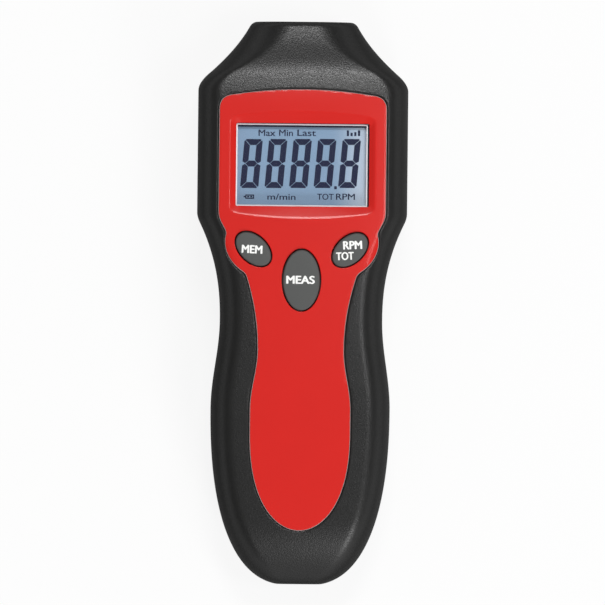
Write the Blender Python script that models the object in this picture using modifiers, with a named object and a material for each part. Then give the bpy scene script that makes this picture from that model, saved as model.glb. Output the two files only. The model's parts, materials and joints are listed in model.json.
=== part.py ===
"""Handheld laser tachometer for Blender 4.5, in metres, +Z up.

The instrument lies on its flat back: the display faces up, the nose points along +Y and X runs
across it. Stations along the body are measured from the tail, and `place` moves them so that
the origin is the middle of the back.
"""
import math

import bmesh
import bpy
from mathutils import Matrix, Vector

# Gap between pieces that seat on or in each other
FIT = 0.0003

# Housing seen from the front: half widths, and the lengths of its stretches from tail to nose
BELLY_HALF = 0.0255
WAIST_HALF = 0.0231
HEAD_HALF = 0.02985
NOSE_HALF = 0.0147
TAIL_LENGTH = 0.0497
GRIP_LENGTH = 0.0256
FLARE_LENGTH = 0.0290
HEAD_LENGTH = 0.0383
NOSE_LENGTH = 0.0174
TAIL_TRIM = 0.0005
HEAD_BLEND = 0.0008
SHOULDER_BLEND = 0.0030

# How full and square the rounded ends are, and how hollow the flare and the nose are
TAIL_FULLNESS = 2.27
TAIL_SQUARENESS = 2.77
END_FULLNESS = 2.2
END_SQUARENESS = 2.2
PANEL_END_FULLNESS = 2.42
PANEL_END_SQUARENESS = 2.0
FLARE_POWER = 2.25
FUNNEL_STRAIGHT = 0.57

# Housing seen from the side
HEAD_DEPTH = 0.0417
TAIL_DEPTH = 0.0277
PARTING_HEIGHT = 0.0170
FACE_FLAT_START = 0.0137
BROW_LENGTH = 0.0100
BROW_DROP = 0.0008
NOSE_TOP_DROP = 0.0052
NOSE_BACK_RISE = 0.0080
NOSE_BACK_BLEND = 0.0008
RIDGE_REACH = 0.0142
RIDGE_BOW = 0.16
RIDGE_BLEND = 0.0009
TAIL_FRONT_ROUND = 0.0200
TAIL_BACK_ROUND = 0.0150
FACE_CROWN = 0.0008
FRONT_CORNER_ACROSS = 0.0068
FRONT_CORNER_DOWN = 0.0110
BACK_CORNER_ACROSS = 0.0070
BACK_CORNER_UP = 0.0080
WIDEST_CORNER = 0.5
NOSE_CORNER_SHARE = 0.8
DEEPEST_CORNER = 0.9
NOSE_EDGE = 0.0013

# Housing walls, and how far a cutter reaches past what it cuts
SIDE_WALL = 0.0024
ROOF_WALL = 0.0032
FLOOR_WALL = 0.0024
TAIL_WALL = 0.0060
NOSE_WALL = 0.0046
OVERCUT = 0.0010

# Red front panel, let into the front shell; its margins are measured in from the housing's edge
PANEL_THICKNESS = 0.0013
PANEL_HEAD_MARGIN = 0.00615
PANEL_WAIST_MARGIN = 0.0109
PANEL_BELLY_MARGIN = 0.01125
PANEL_TOP_MARGIN = 0.0019
PANEL_TAIL_STATION = 0.0154
PANEL_END_LENGTH = 0.0286
PANEL_WAIST_SHIFT = 0.0085
PANEL_STRIP_FLARE = 0.0063
PANEL_TOP_BOW = 0.0023
PANEL_SHOULDER = 0.0034
PANEL_TAPER = 0.55
PANEL_BLEND = 0.0015
LOBE_MARGIN = 0.0028
LOBE_BLEND = 0.0003

# Display: its middle is measured from the start of the head, its opening in from the panel's edge
DISPLAY_REACH = 0.0150
OPENING_MARGIN = 0.0048
OPENING_HALF_HEIGHT = 0.0118
DISH_SIDE = 0.0017
DISH_END = 0.0018
DISH_BOW = 0.0016
DISH_DEPTH = 0.0013
OPENING_LIP = 0.0010
WINDOW_OVERLAP = 0.0014
WINDOW_THICKNESS = 0.0010
SURROUND_WALL = 0.0016
LCD_THICKNESS = 0.0028
LCD_STANDOFF = 0.0042
HOLDER_WALL = 0.0016
CONTACT_STRIP_WIDTH = 0.0020
CONTACT_STRIP_INSET = 0.0020

# Keys: an upright oval in the middle and a slanting one on each side, placed back from the head;
# the shares are of the panel's half width there
MEASURE_KEY_REACH = 0.0177
MEASURE_KEY_WIDTH_SHARE = 0.2215
MEASURE_KEY_ALONG = 0.0086
SIDE_KEY_REACH = 0.0090
SIDE_KEY_OFFSET_SHARE = 0.578
SIDE_KEY_LENGTH_SHARE = 0.2468
SIDE_KEY_SHORT = 0.00375
SIDE_KEY_SLANT = 42.0
KEY_GAP = 0.00035
KEY_RISE = 0.0008
KEY_EDGE = 0.0005
KEY_FLANGE = 0.0011
KEY_FLANGE_THICKNESS = 0.0008
KEY_TRAVEL = 0.0006
SWITCH_SIDE = 0.0060
SWITCH_HEIGHT = 0.0031
PLUNGER_RADIUS = 0.0016
PLUNGER_DEPTH = 0.0014
PLUNGER_RISE = 0.0008

# Circuit board: wide under the display, narrow between the bosses in the head and at its tail
BOARD_THICKNESS = 0.0016
BOARD_HEAD_MARGIN = 0.00585
BOARD_WAIST_MARGIN = 0.0051
BOARD_TAIL_REACH = 0.0283
BOARD_WIDE_REACH = 0.0033
BOARD_WIDE_STEP = 0.0040
BOARD_NECK_LENGTH = 0.0080
BOARD_CLEARANCE = 0.0021
BOARD_POST_RADIUS = 0.0023
BOARD_POST_EDGE = 0.0060
BOARD_POST_INSET = 0.0030
BOARD_SCREW_RADIUS = 0.0010
BOARD_SCREW_HEAD = 0.0019
BOARD_SCREW_HEAD_HEIGHT = 0.0012
BOARD_SCREW_LENGTH = 0.0055

# What the board carries on its lower side; shares are of the board's half width
CHIP_SIDE = 0.0120
CHIP_HEIGHT = 0.0016
CRYSTAL_WIDTH = 0.0045
CRYSTAL_LENGTH = 0.0110
CRYSTAL_HEIGHT = 0.0035
CRYSTAL_INSET = 0.00825
REGULATOR_SIDE = 0.0045
REGULATOR_HEIGHT = 0.0020
REGULATOR_SHARE = 0.29
REGULATOR_INSET = 0.0112
CAPACITORS = {
    "capacitor_large": (0.625, 0.0030, 0.0080),
    "capacitor_small": (-0.25, 0.0022, 0.0055),
}

# Screws that close the housing, and how far in from its side and its ends they stand
BOSS_RADIUS = 0.0032
BOSS_SKIRT = 0.0008
HOUSING_SCREW_RADIUS = 0.0014
HOUSING_SCREW_HEAD = 0.0026
HOUSING_SCREW_HEAD_HEIGHT = 0.0018
HOUSING_SCREW_LENGTH = 0.0140
HOUSING_SCREW_DEPTH = 0.0085
HEAD_SCREW_MARGIN = 0.00955
HEAD_SCREW_REACH = 0.0044
GRIP_SCREW_MARGIN = 0.0061
GRIP_SCREW_REACH = 0.0027

# Nine-volt battery and its compartment
BATTERY_WIDTH = 0.0265
BATTERY_LENGTH = 0.0460
BATTERY_DEPTH = 0.0175
BATTERY_STATION = 0.0155
TERMINAL_HEIGHT = 0.0025
TERMINAL_SPACING = 0.0127
TERMINAL_RADIUS = {"battery_terminal_positive": 0.0029, "battery_terminal_negative": 0.0040}
SNAP_THICKNESS = 0.0030
SNAP_HALF_WIDTH = 0.0125
SNAP_HALF_HEIGHT = 0.0060
PAD_THICKNESS = 0.0010
PAD_HALF_WIDTH = 0.0100
PAD_LENGTH = 0.0300
PAD_INSET = 0.0045
COMPARTMENT_WALL = 0.0015
COMPARTMENT_ROOM = 0.0016
LEAD_RADIUS = 0.00065
LEAD_SPACING = 0.0064

# Bends of a lead: its share of the spacing, its reach past the compartment, its rise above the axis
LEAD_EXIT_RISE = 0.0030
LEAD_BENDS = ((1.0, 0.0, 0.0038), (1.0, 0.0030, 0.0070), (1.1, 0.0060, 0.0120))
LEAD_END_SHARE = 1.2
LEAD_DROP = 0.0040
LEAD_LEAN = 0.0004

# Battery door, which slides off towards the tail, and the ridges for the thumb
DOOR_THICKNESS = 0.0020
DOOR_LIP = 0.0010
DOOR_HALF = 0.0145
DOOR_TONGUE = 0.0012
DOOR_TAIL_STATION = 0.0115
DOOR_CORNER = 0.0035
GROOVES = 6
GROOVE_PITCH = 0.0020
GROOVE_WIDTH = 0.0009
GROOVE_DEPTH = 0.0005
GROOVE_REACH = 0.0085
GROOVE_TAPER = 0.0007
GROOVE_INSET = 0.0060

# Optics in the nose
PORT_HALF_WIDTH = 0.0105
PORT_HALF_HEIGHT = 0.0060
PORT_CORNER = 0.0022
PORT_RECESS = 0.0013
NOSE_WINDOW_THICKNESS = 0.0013
NOSE_WINDOW_OVERLAP = 0.0012
HOLDER_DEPTH = 0.0120
HOLDER_HALF_WIDTH = 0.0118
HOLDER_HALF_HEIGHT = 0.0066
SEAT_INSET = 0.0030
LASER_OFFSET = -0.0055
LASER_RADIUS = 0.0032
LASER_LENGTH = 0.0180
LASER_MOUTH_RADIUS = 0.0022
LASER_MOUTH_DEPTH = 0.0020
LASER_LENS_RADIUS = 0.0019
LASER_LENS_HEIGHT = 0.0010
RECEIVER_OFFSET = 0.0052
RECEIVER_RADIUS = 0.0043
RECEIVER_LENS_HEIGHT = 0.0026
RECEIVER_LENS_RIM = 0.0006
RECEIVER_LENS_DEPTH = 0.0034
PHOTODIODE_SIDE = 0.0054
PHOTODIODE_DEPTH = 0.0030
PHOTODIODE_INSET = 0.0010

# Stations along the housing that follow from the sizes above
BELLY = TAIL_LENGTH
WAIST = BELLY + GRIP_LENGTH
HEAD = WAIST + FLARE_LENGTH
SHOULDER = HEAD + HEAD_LENGTH
NOSE = SHOULDER + NOSE_LENGTH
FACE_FLAT = HEAD + FACE_FLAT_START
RIDGE = NOSE - RIDGE_REACH
BROW = RIDGE - BROW_LENGTH

# Places on the front
PANEL_HEAD_HALF = HEAD_HALF - PANEL_HEAD_MARGIN
PANEL_WAIST_HALF = WAIST_HALF - PANEL_WAIST_MARGIN
PANEL_BELLY_HALF = BELLY_HALF - PANEL_BELLY_MARGIN
PANEL_TOP_STATION = SHOULDER - PANEL_TOP_MARGIN
PANEL_END = PANEL_TAIL_STATION + PANEL_END_LENGTH
PANEL_WAIST = WAIST - PANEL_WAIST_SHIFT
DISPLAY_STATION = HEAD + DISPLAY_REACH
MEASURE_KEY_STATION = HEAD - MEASURE_KEY_REACH
SIDE_KEY_STATION = HEAD - SIDE_KEY_REACH
MEASURE_KEY_ACROSS = PANEL_HEAD_HALF * MEASURE_KEY_WIDTH_SHARE
SIDE_KEY_OFFSET = PANEL_HEAD_HALF * SIDE_KEY_OFFSET_SHARE
SIDE_KEY_LONG = PANEL_HEAD_HALF * SIDE_KEY_LENGTH_SHARE
LOBE_LONG = SIDE_KEY_LONG + KEY_GAP + LOBE_MARGIN
LOBE_SHORT = SIDE_KEY_SHORT + KEY_GAP + LOBE_MARGIN
OPENING_HALF_WIDTH = PANEL_HEAD_HALF - OPENING_MARGIN
DISH_HALF_WIDTH = OPENING_HALF_WIDTH + DISH_SIDE
DISH_HALF_HEIGHT = OPENING_HALF_HEIGHT + DISH_END
WINDOW_HALF_WIDTH = OPENING_HALF_WIDTH + WINDOW_OVERLAP
WINDOW_HALF_HEIGHT = OPENING_HALF_HEIGHT + WINDOW_OVERLAP
SURROUND_HALF_WIDTH = WINDOW_HALF_WIDTH + FIT + SURROUND_WALL
SURROUND_HALF_HEIGHT = WINDOW_HALF_HEIGHT + FIT + SURROUND_WALL

# Heights of the layers under the display
DISH_HEIGHT = HEAD_DEPTH - DISH_DEPTH
WINDOW_TOP = DISH_HEIGHT - OPENING_LIP - FIT
WINDOW_BOTTOM = WINDOW_TOP - WINDOW_THICKNESS
LCD_TOP = WINDOW_BOTTOM - FIT
LCD_BOTTOM = LCD_TOP - LCD_THICKNESS
BOARD_TOP = LCD_BOTTOM - LCD_STANDOFF
BOARD_BOTTOM = BOARD_TOP - BOARD_THICKNESS

# Screws as (x, station), and the board between their bosses
HEAD_SCREW_OFFSET = HEAD_HALF - HEAD_SCREW_MARGIN
GRIP_SCREW_OFFSET = BELLY_HALF - GRIP_SCREW_MARGIN
HOUSING_SCREWS = (
    (-HEAD_SCREW_OFFSET, SHOULDER - HEAD_SCREW_REACH),
    (HEAD_SCREW_OFFSET, SHOULDER - HEAD_SCREW_REACH),
    (-GRIP_SCREW_OFFSET, BELLY - GRIP_SCREW_REACH),
    (GRIP_SCREW_OFFSET, BELLY - GRIP_SCREW_REACH),
)
BOARD_HALF = HEAD_HALF - BOARD_HEAD_MARGIN
BOARD_LOWER_HALF = WAIST_HALF - BOARD_WAIST_MARGIN
BOARD_TOP_HALF = HEAD_SCREW_OFFSET - BOSS_RADIUS - BOARD_CLEARANCE
BOARD_TAIL_STATION = HEAD - BOARD_TAIL_REACH
BOARD_WIDE_STATION = HEAD - BOARD_WIDE_REACH
BOARD_NECK_STATION = SHOULDER - BOARD_NECK_LENGTH
BOARD_SCREWS = (
    (-BOARD_TOP_HALF + BOARD_POST_EDGE, SHOULDER - BOARD_POST_INSET),
    (BOARD_TOP_HALF - BOARD_POST_EDGE, SHOULDER - BOARD_POST_INSET),
    (-BOARD_LOWER_HALF + BOARD_POST_EDGE, BOARD_TAIL_STATION + BOARD_POST_INSET),
    (BOARD_LOWER_HALF - BOARD_POST_EDGE, BOARD_TAIL_STATION + BOARD_POST_INSET),
)

# Battery compartment and door
BATTERY_END = BATTERY_STATION + BATTERY_LENGTH
TERMINAL_END = BATTERY_END + FIT + TERMINAL_HEIGHT
SNAP_END = TERMINAL_END + FIT + SNAP_THICKNESS
BATTERY_BOTTOM = DOOR_THICKNESS + 2 * FIT
BATTERY_TOP = BATTERY_BOTTOM + BATTERY_DEPTH
COMPARTMENT_HALF = BATTERY_WIDTH / 2 + FIT
COMPARTMENT_START = BATTERY_STATION - 2 * FIT
COMPARTMENT_END = SNAP_END + COMPARTMENT_ROOM
COMPARTMENT_TOP = BATTERY_TOP + PAD_THICKNESS + 2 * FIT
DOOR_END = COMPARTMENT_END + COMPARTMENT_WALL / 2
RAIL_HALF = DOOR_HALF + DOOR_TONGUE

# The optical port sits halfway up the nose's end
PORT_HEIGHT = (NOSE_BACK_RISE + HEAD_DEPTH - NOSE_TOP_DROP) / 2
WINDOW_GROOVE = NOSE_WINDOW_THICKNESS + 2 * FIT
HOLDER_END = NOSE - NOSE_WALL - FIT
HOLDER_START = HOLDER_END - HOLDER_DEPTH

SMOOTH_ANGLE = math.radians(35)


def remove_everything():
    for item in list(bpy.data.objects):
        bpy.data.objects.remove(item, do_unlink=True)


def new_collection(name):
    collection = bpy.data.collections.new(name)
    bpy.context.scene.collection.children.link(collection)
    return collection


remove_everything()
PARTS = new_collection("laser_tachometer")
CUTTERS = new_collection("cutters")


def material(name, color, roughness, metallic=0.0, alpha=1.0):
    made = bpy.data.materials.new(name)
    made.use_nodes = True
    shader = made.node_tree.nodes["Principled BSDF"]
    shader.inputs["Base Color"].default_value = (*color, 1.0)
    shader.inputs["Roughness"].default_value = roughness
    shader.inputs["Metallic"].default_value = metallic
    shader.inputs["Alpha"].default_value = alpha
    made.diffuse_color = (*color, alpha)
    return made


def place(x, station, z):
    """A point in the scene from its station along the body."""
    return Vector((x, station - NOSE / 2, z))


def soft_ramp(value, blend):
    """Zero below -blend, value above blend, and a parabola between."""
    if value <= -blend:
        return 0.0
    if value >= blend:
        return value
    return (value + blend) ** 2 / (4 * blend)


def soft_min(a, b, blend):
    return a - soft_ramp(a - b, blend)


def soft_max(a, b, blend):
    return b + soft_ramp(a - b, blend)


def round_end(distance, reach, trim, fullness, squareness):
    """How far a rounded end has opened, 0 to 1, at a distance from its trimmed tip."""
    if distance >= reach:
        return 1.0
    share = (reach - distance) / (reach + trim)
    return (1 - share ** fullness) ** (1 / squareness)


def funnel(share):
    """The nose's hollow flare, 0 at its end and 1 where it meets the head."""
    return FUNNEL_STRAIGHT * share + (1 - FUNNEL_STRAIGHT) * share ** 2


def swing(share, start, end):
    """A smooth swing from one width to another as share goes from 0 to 1."""
    return end + (start - end) * (1 + math.cos(math.pi * share)) / 2


def half_width(station):
    """Half the width of the housing, seen from the front."""
    if station < BELLY:
        opened = round_end(station, BELLY, TAIL_TRIM, TAIL_FULLNESS, TAIL_SQUARENESS)
        grip = BELLY_HALF * opened
    elif station < WAIST:
        grip = swing((station - BELLY) / GRIP_LENGTH, BELLY_HALF, WAIST_HALF)
    else:
        share = (station - WAIST) / FLARE_LENGTH
        grip = WAIST_HALF + (HEAD_HALF - WAIST_HALF) * share ** FLARE_POWER
    nose = NOSE_HALF + (HEAD_HALF - NOSE_HALF) * funnel((NOSE - station) / NOSE_LENGTH)
    return soft_min(soft_min(grip, HEAD_HALF, HEAD_BLEND), nose, SHOULDER_BLEND)


def spine_height(x, station):
    """Height of the front face before its crown and its corners."""
    height = HEAD_DEPTH
    if station < FACE_FLAT:
        height -= (HEAD_DEPTH - TAIL_DEPTH) * ((FACE_FLAT - station) / FACE_FLAT) ** 2
    elif station > BROW:
        height -= BROW_DROP * ((station - BROW) / BROW_LENGTH) ** 2
    opened = round_end(station, TAIL_FRONT_ROUND, TAIL_TRIM, END_FULLNESS, END_SQUARENESS)
    height = PARTING_HEIGHT + (height - PARTING_HEIGHT) * opened
    reach = (NOSE - station) * (1 - RIDGE_BOW * (x / HEAD_HALF) ** 2)
    nose = HEAD_DEPTH - NOSE_TOP_DROP * (1 - funnel(reach / RIDGE_REACH))
    return soft_min(height, nose, RIDGE_BLEND)


def crown_height(x, station):
    return spine_height(x, station) - FACE_CROWN * (x / HEAD_HALF) ** 2


def front_corner(station):
    """Where the front's rounded corner starts, its reach across and its reach down."""
    half = half_width(station)
    across = min(FRONT_CORNER_ACROSS, WIDEST_CORNER * half)
    rounding = max(0.0, 1 - (NOSE - station) / RIDGE_REACH)
    across += (NOSE_CORNER_SHARE * half - across) * rounding
    start = half - across
    deepest = DEEPEST_CORNER * (crown_height(start, station) - PARTING_HEIGHT)
    return start, across, min(FRONT_CORNER_DOWN, deepest)


def front_height(x, station):
    """Height of the front shell's outer surface."""
    start, across, down = front_corner(station)
    x = abs(x)
    if x <= start:
        return crown_height(x, station)
    turn = min(1.0, (x - start) / across)
    return crown_height(start, station) - down * (1 - math.sqrt(1 - turn ** 2))


def back_height(station):
    """Height of the back along its middle: flat, but for the tail and the nose."""
    opened = round_end(station, TAIL_BACK_ROUND, TAIL_TRIM, END_FULLNESS, END_SQUARENESS)
    tail = PARTING_HEIGHT * (1 - opened)
    lift = NOSE_BACK_RISE * (1 - funnel((NOSE - station) / RIDGE_REACH))
    return tail + soft_ramp(lift, NOSE_BACK_BLEND)


def front_profile(station, crown_steps=3, corner_steps=5):
    """Right half of the front's outline across the body, from the middle to the parting."""
    start, across, down = front_corner(station)
    points = []
    for step in range(crown_steps + 1):
        x = start * step / crown_steps
        points.append((x, crown_height(x, station)))
    for step in range(1, corner_steps + 1):
        turn = math.radians(90) * step / corner_steps
        height = crown_height(start, station) - down * (1 - math.cos(turn))
        points.append((start + across * math.sin(turn), height))
    return points


def back_profile(station, flat_steps=1, corner_steps=5):
    """Right half of the back's outline across the body, from the middle to the parting."""
    half = half_width(station)
    bottom = back_height(station)
    across = min(BACK_CORNER_ACROSS, WIDEST_CORNER * half)
    up = min(BACK_CORNER_UP, DEEPEST_CORNER * (PARTING_HEIGHT - bottom))
    start = half - across
    points = [(start * step / flat_steps, bottom) for step in range(flat_steps + 1)]
    for step in range(1, corner_steps + 1):
        turn = math.radians(90) * step / corner_steps
        points.append((start + across * math.sin(turn), bottom + up * (1 - math.cos(turn))))
    return points


def closed_ring(profile, parting, width_scale=1.0, height_scale=1.0):
    """A full outline from its right half, closed along the parting plane."""
    scaled = [
        (x * width_scale, PARTING_HEIGHT + (z - PARTING_HEIGHT) * height_scale)
        for x, z in profile
    ]
    edge = scaled[-1][0]
    right = scaled + [(edge, parting)]
    left = [(-x, z) for x, z in reversed(right) if x > 0]
    return right + left


def spread(low, high, count):
    """Evenly spaced stations from low up to, but not at, high."""
    return [low + (high - low) * step / count for step in range(count)]


def body_stations():
    """Stations of the housing's sections, closer together where it curves."""
    tail = [BELLY * (step / 10) ** 2 for step in range(10)]
    grip = spread(BELLY, WAIST, 5) + spread(WAIST, HEAD, 7)
    head = [HEAD, HEAD + HEAD_BLEND, HEAD + 3 * HEAD_BLEND, FACE_FLAT, (FACE_FLAT + BROW) / 2, BROW]
    brow = [BROW + BROW_LENGTH * share for share in (0.3, 0.55, 0.75, 0.9, 0.96, 1.0)]
    nose = [NOSE - RIDGE_REACH * share for share in (0.93, 0.8, 0.55, 0.3, 0.14)]
    return tail + grip + head + brow + nose


def edge_insets():
    """Reach back from the nose end, and inset, of the rounded edge around it."""
    turns = [math.radians(angle) for angle in (0, 35, 65, 90)]
    return [(NOSE_EDGE * (1 - math.sin(t)), NOSE_EDGE * (1 - math.cos(t))) for t in turns]


def link(mesh_data, name, collection):
    made = bpy.data.objects.new(name, mesh_data)
    collection.objects.link(made)
    return made


def finish_mesh(shape, name, collection, look=None):
    """Turns a bmesh into a smooth-shaded object with its faces pointing out."""
    bmesh.ops.recalc_face_normals(shape, faces=shape.faces)
    data = bpy.data.meshes.new(name)
    shape.to_mesh(data)
    shape.free()
    data.shade_smooth()
    data.set_sharp_from_angle(angle=SMOOTH_ANGLE)
    made = link(data, name, collection)
    if look is not None:
        data.materials.append(look)
    if collection is CUTTERS:
        made.hide_render = True
        made.display_type = "WIRE"
    return made


def loft(name, rings, collection=CUTTERS, look=None):
    """A closed solid through rings of equally many points, with both ends capped."""
    shape = bmesh.new()
    rows = [[shape.verts.new(point) for point in ring] for ring in rings]
    count = len(rows[0])
    for low, high in zip(rows, rows[1:]):
        for index in range(count):
            after = (index + 1) % count
            shape.faces.new((low[index], low[after], high[after], high[index]))
    shape.faces.new(rows[0])
    shape.faces.new(rows[-1])
    return finish_mesh(shape, name, collection, look)


def prism(name, outline, low, high, collection=CUTTERS, look=None):
    """A flat outline of (x, station) points, raised from one height to another."""
    rings = [[place(x, station, z) for x, station in outline] for z in (low, high)]
    return loft(name, rings, collection, look)


def box(name, low, high, collection=CUTTERS, look=None, bevel=0.0):
    """A box between two corners given as (x, station, height)."""
    shape = bmesh.new()
    bmesh.ops.create_cube(shape, size=1.0)
    near, far = place(*low), place(*high)
    size = far - near
    bmesh.ops.transform(shape, matrix=Matrix.Diagonal((*size, 1.0)), verts=shape.verts)
    made = finish_mesh(shape, name, collection, look)
    made.location = (near + far) / 2
    if bevel:
        round_edges(made, bevel)
    return made


def round_edges(target, width, segments=1):
    bevel = target.modifiers.new("rounded_edges", "BEVEL")
    bevel.width = width
    bevel.segments = segments
    bevel.limit_method = "ANGLE"
    bevel.angle_limit = math.radians(40)


def rod(name, radius, low, high, sides=20, collection=CUTTERS, look=None):
    """A round rod between two points given as (x, station, height)."""
    near, far = place(*low), place(*high)
    shape = bmesh.new()
    bmesh.ops.create_cone(
        shape, cap_ends=True, segments=sides, radius1=radius, radius2=radius,
        depth=(far - near).length,
    )
    made = finish_mesh(shape, name, collection, look)
    made.location = (near + far) / 2
    made.rotation_mode = "QUATERNION"
    made.rotation_quaternion = (far - near).to_track_quat("Z", "Y")
    return made


def combine(target, tool, operation):
    boolean = target.modifiers.new(operation.lower(), "BOOLEAN")
    boolean.operation = operation
    boolean.object = tool
    boolean.solver = "EXACT"


def cut(target, *tools):
    for tool in tools:
        combine(target, tool, "DIFFERENCE")


def join(target, *tools):
    for tool in tools:
        combine(target, tool, "UNION")


def keep_inside(target, tool):
    combine(target, tool, "INTERSECT")


def turned(name, profile, center, look, axis="Z", steps=20):
    """A turned piece: (radius, height) points down its outer side, spun with a Screw modifier."""
    shape = bmesh.new()
    chain = [shape.verts.new((radius, 0.0, height)) for radius, height in profile]
    for first, second in zip(chain, chain[1:]):
        shape.edges.new((first, second))
    data = bpy.data.meshes.new(name)
    shape.to_mesh(data)
    shape.free()
    data.materials.append(look)
    made = link(data, name, PARTS)
    spin = made.modifiers.new("turn", "SCREW")
    spin.steps = steps
    spin.render_steps = steps
    spin.use_merge_vertices = True
    spin.merge_threshold = 0.00001
    made.location = place(*center)
    if axis == "Y":
        made.rotation_euler = (math.radians(-90), 0.0, 0.0)
    return made


def offset_outline(outline, distance):
    """Moves a counter-clockwise outline outwards by a distance."""
    moved = []
    count = len(outline)
    for index, (x, y) in enumerate(outline):
        before = outline[index - 1]
        after = outline[(index + 1) % count]
        along = Vector((after[0] - before[0], after[1] - before[1])).normalized()
        moved.append((x + along.y * distance, y - along.x * distance))
    return moved


def oval(center_x, center_station, across, along, slant=0.0, grow=0.0, count=20):
    """An ellipse of half sizes across and along, turned by slant degrees."""
    turn = math.radians(slant)
    points = []
    for index in range(count):
        angle = math.tau * index / count
        u = (across + grow) * math.cos(angle)
        v = (along + grow) * math.sin(angle)
        x = center_x + u * math.cos(turn) - v * math.sin(turn)
        station = center_station + u * math.sin(turn) + v * math.cos(turn)
        points.append((x, station))
    return points


def rounded_rectangle(half_x, half_y, corner, steps=4):
    """Counter-clockwise points of a rectangle with round corners, about its middle."""
    points = []
    for quarter in range(4):
        start = math.radians(90 * quarter)
        side_x = 1 if quarter in (0, 3) else -1
        side_y = 1 if quarter in (0, 1) else -1
        for step in range(steps + 1):
            angle = start + math.radians(90) * step / steps
            x = side_x * (half_x - corner) + corner * math.cos(angle)
            y = side_y * (half_y - corner) + corner * math.sin(angle)
            points.append((x, y))
    return points


def around(outline, center_x, center_station):
    return [(x + center_x, y + center_station) for x, y in outline]


def housing_solid(name, profile_of, parting, collection=CUTTERS, look=None):
    """The outer form of one half of the housing."""
    rings = []
    for station in body_stations():
        ring = closed_ring(profile_of(station), parting)
        rings.append([place(x, station, z) for x, z in ring])
    for reach, inset in edge_insets():
        station = NOSE - reach
        width_scale = 1 - inset / half_width(station)
        ring = closed_ring(profile_of(station), parting, width_scale, width_scale)
        rings.append([place(x, station, z) for x, z in ring])
    return loft(name, rings, collection, look)


def cavity_solid(name, profile_of, parting, wall):
    """The hollow of one half of the housing."""
    inner = [s for s in body_stations() if TAIL_WALL < s < NOSE - NOSE_WALL][::3]
    stations = [TAIL_WALL] + inner + [NOSE - NOSE_WALL]
    rings = []
    for station in stations:
        profile = profile_of(station, 2, 3)
        depth = abs(profile[0][1] - PARTING_HEIGHT)
        width_scale = 1 - SIDE_WALL / half_width(station)
        ring = closed_ring(profile, parting, width_scale, 1 - wall / depth)
        rings.append([place(x, station, z) for x, z in ring])
    return loft(name, rings)


def roof_height(x, station):
    """Height of the front shell's inner surface."""
    middle = front_height(0.0, station) - PARTING_HEIGHT
    share = 1 - ROOF_WALL / middle
    x = x / (1 - SIDE_WALL / half_width(station))
    return PARTING_HEIGHT + (front_height(x, station) - PARTING_HEIGHT) * share


def panel_half(station):
    """Half the width of the red panel: head, key lobes and grip strip run together."""
    if station < BELLY:
        start = station - PANEL_TAIL_STATION
        shape = PANEL_END_FULLNESS, PANEL_END_SQUARENESS
        return PANEL_BELLY_HALF * round_end(start, PANEL_END_LENGTH, 0.0, *shape)
    lobed = soft_max(lobe_half(station), strip_half(station), LOBE_BLEND)
    if station < SIDE_KEY_STATION:
        return lobed
    return max(PANEL_HEAD_HALF - PANEL_TAPER * soft_ramp(HEAD - station, PANEL_BLEND), lobed)


def strip_half(station):
    """Half the width of the panel's grip strip above its belly."""
    if station < PANEL_WAIST:
        share = (station - BELLY) / (PANEL_WAIST - BELLY)
        return swing(share, PANEL_BELLY_HALF, PANEL_WAIST_HALF)
    share = (min(station, SIDE_KEY_STATION) - PANEL_WAIST) / (SIDE_KEY_STATION - PANEL_WAIST)
    return PANEL_WAIST_HALF + PANEL_STRIP_FLARE * share ** 2


def lobe_half(station):
    """Reach across of the rounded lobe around a side key, a slanting ellipse."""
    along = station - SIDE_KEY_STATION
    cosine = math.cos(math.radians(SIDE_KEY_SLANT))
    sine = math.sin(math.radians(SIDE_KEY_SLANT))
    a = (cosine / LOBE_LONG) ** 2 + (sine / LOBE_SHORT) ** 2
    b = 2 * along * sine * cosine * (1 / LOBE_LONG ** 2 - 1 / LOBE_SHORT ** 2)
    c = along ** 2 * ((sine / LOBE_LONG) ** 2 + (cosine / LOBE_SHORT) ** 2) - 1
    inside = b ** 2 - 4 * a * c
    if inside <= 0:
        return 0.0
    return SIDE_KEY_OFFSET + (math.sqrt(inside) - b) / (2 * a)


def panel_outline():
    """The red panel's outline, counter-clockwise from the tail's middle."""
    lobe_start = SIDE_KEY_STATION - LOBE_LONG
    lobe_end = HEAD + 2 * PANEL_BLEND
    stations = [PANEL_TAIL_STATION + PANEL_END_LENGTH * (step / 12) ** 2 for step in range(1, 12)]
    stations += spread(PANEL_END, lobe_start, 11) + spread(lobe_start, lobe_end, 18)
    stations += [lobe_end, DISPLAY_STATION]
    right = [(panel_half(station), station) for station in stations] + top_corner()
    left = [(-x, station) for x, station in reversed(right)]
    return [(0.0, PANEL_TAIL_STATION)] + right + [(0.0, PANEL_TOP_STATION)] + left


def top_corner():
    """The panel's upper right corner and half of its bowed top edge."""
    corner_x = PANEL_HEAD_HALF - PANEL_SHOULDER
    edge = PANEL_TOP_STATION - PANEL_TOP_BOW * (corner_x / PANEL_HEAD_HALF) ** 2
    slope = math.atan(2 * PANEL_TOP_BOW * corner_x / PANEL_HEAD_HALF ** 2)
    points = []
    for step in range(7):
        angle = (math.radians(90) - slope) * step / 6
        x = corner_x + PANEL_SHOULDER * math.cos(angle)
        points.append((x, edge - PANEL_SHOULDER + PANEL_SHOULDER * math.sin(angle)))
    for share in (0.8, 0.6, 0.4, 0.2):
        x = corner_x * share
        points.append((x, PANEL_TOP_STATION - PANEL_TOP_BOW * (x / PANEL_HEAD_HALF) ** 2))
    return points


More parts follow.
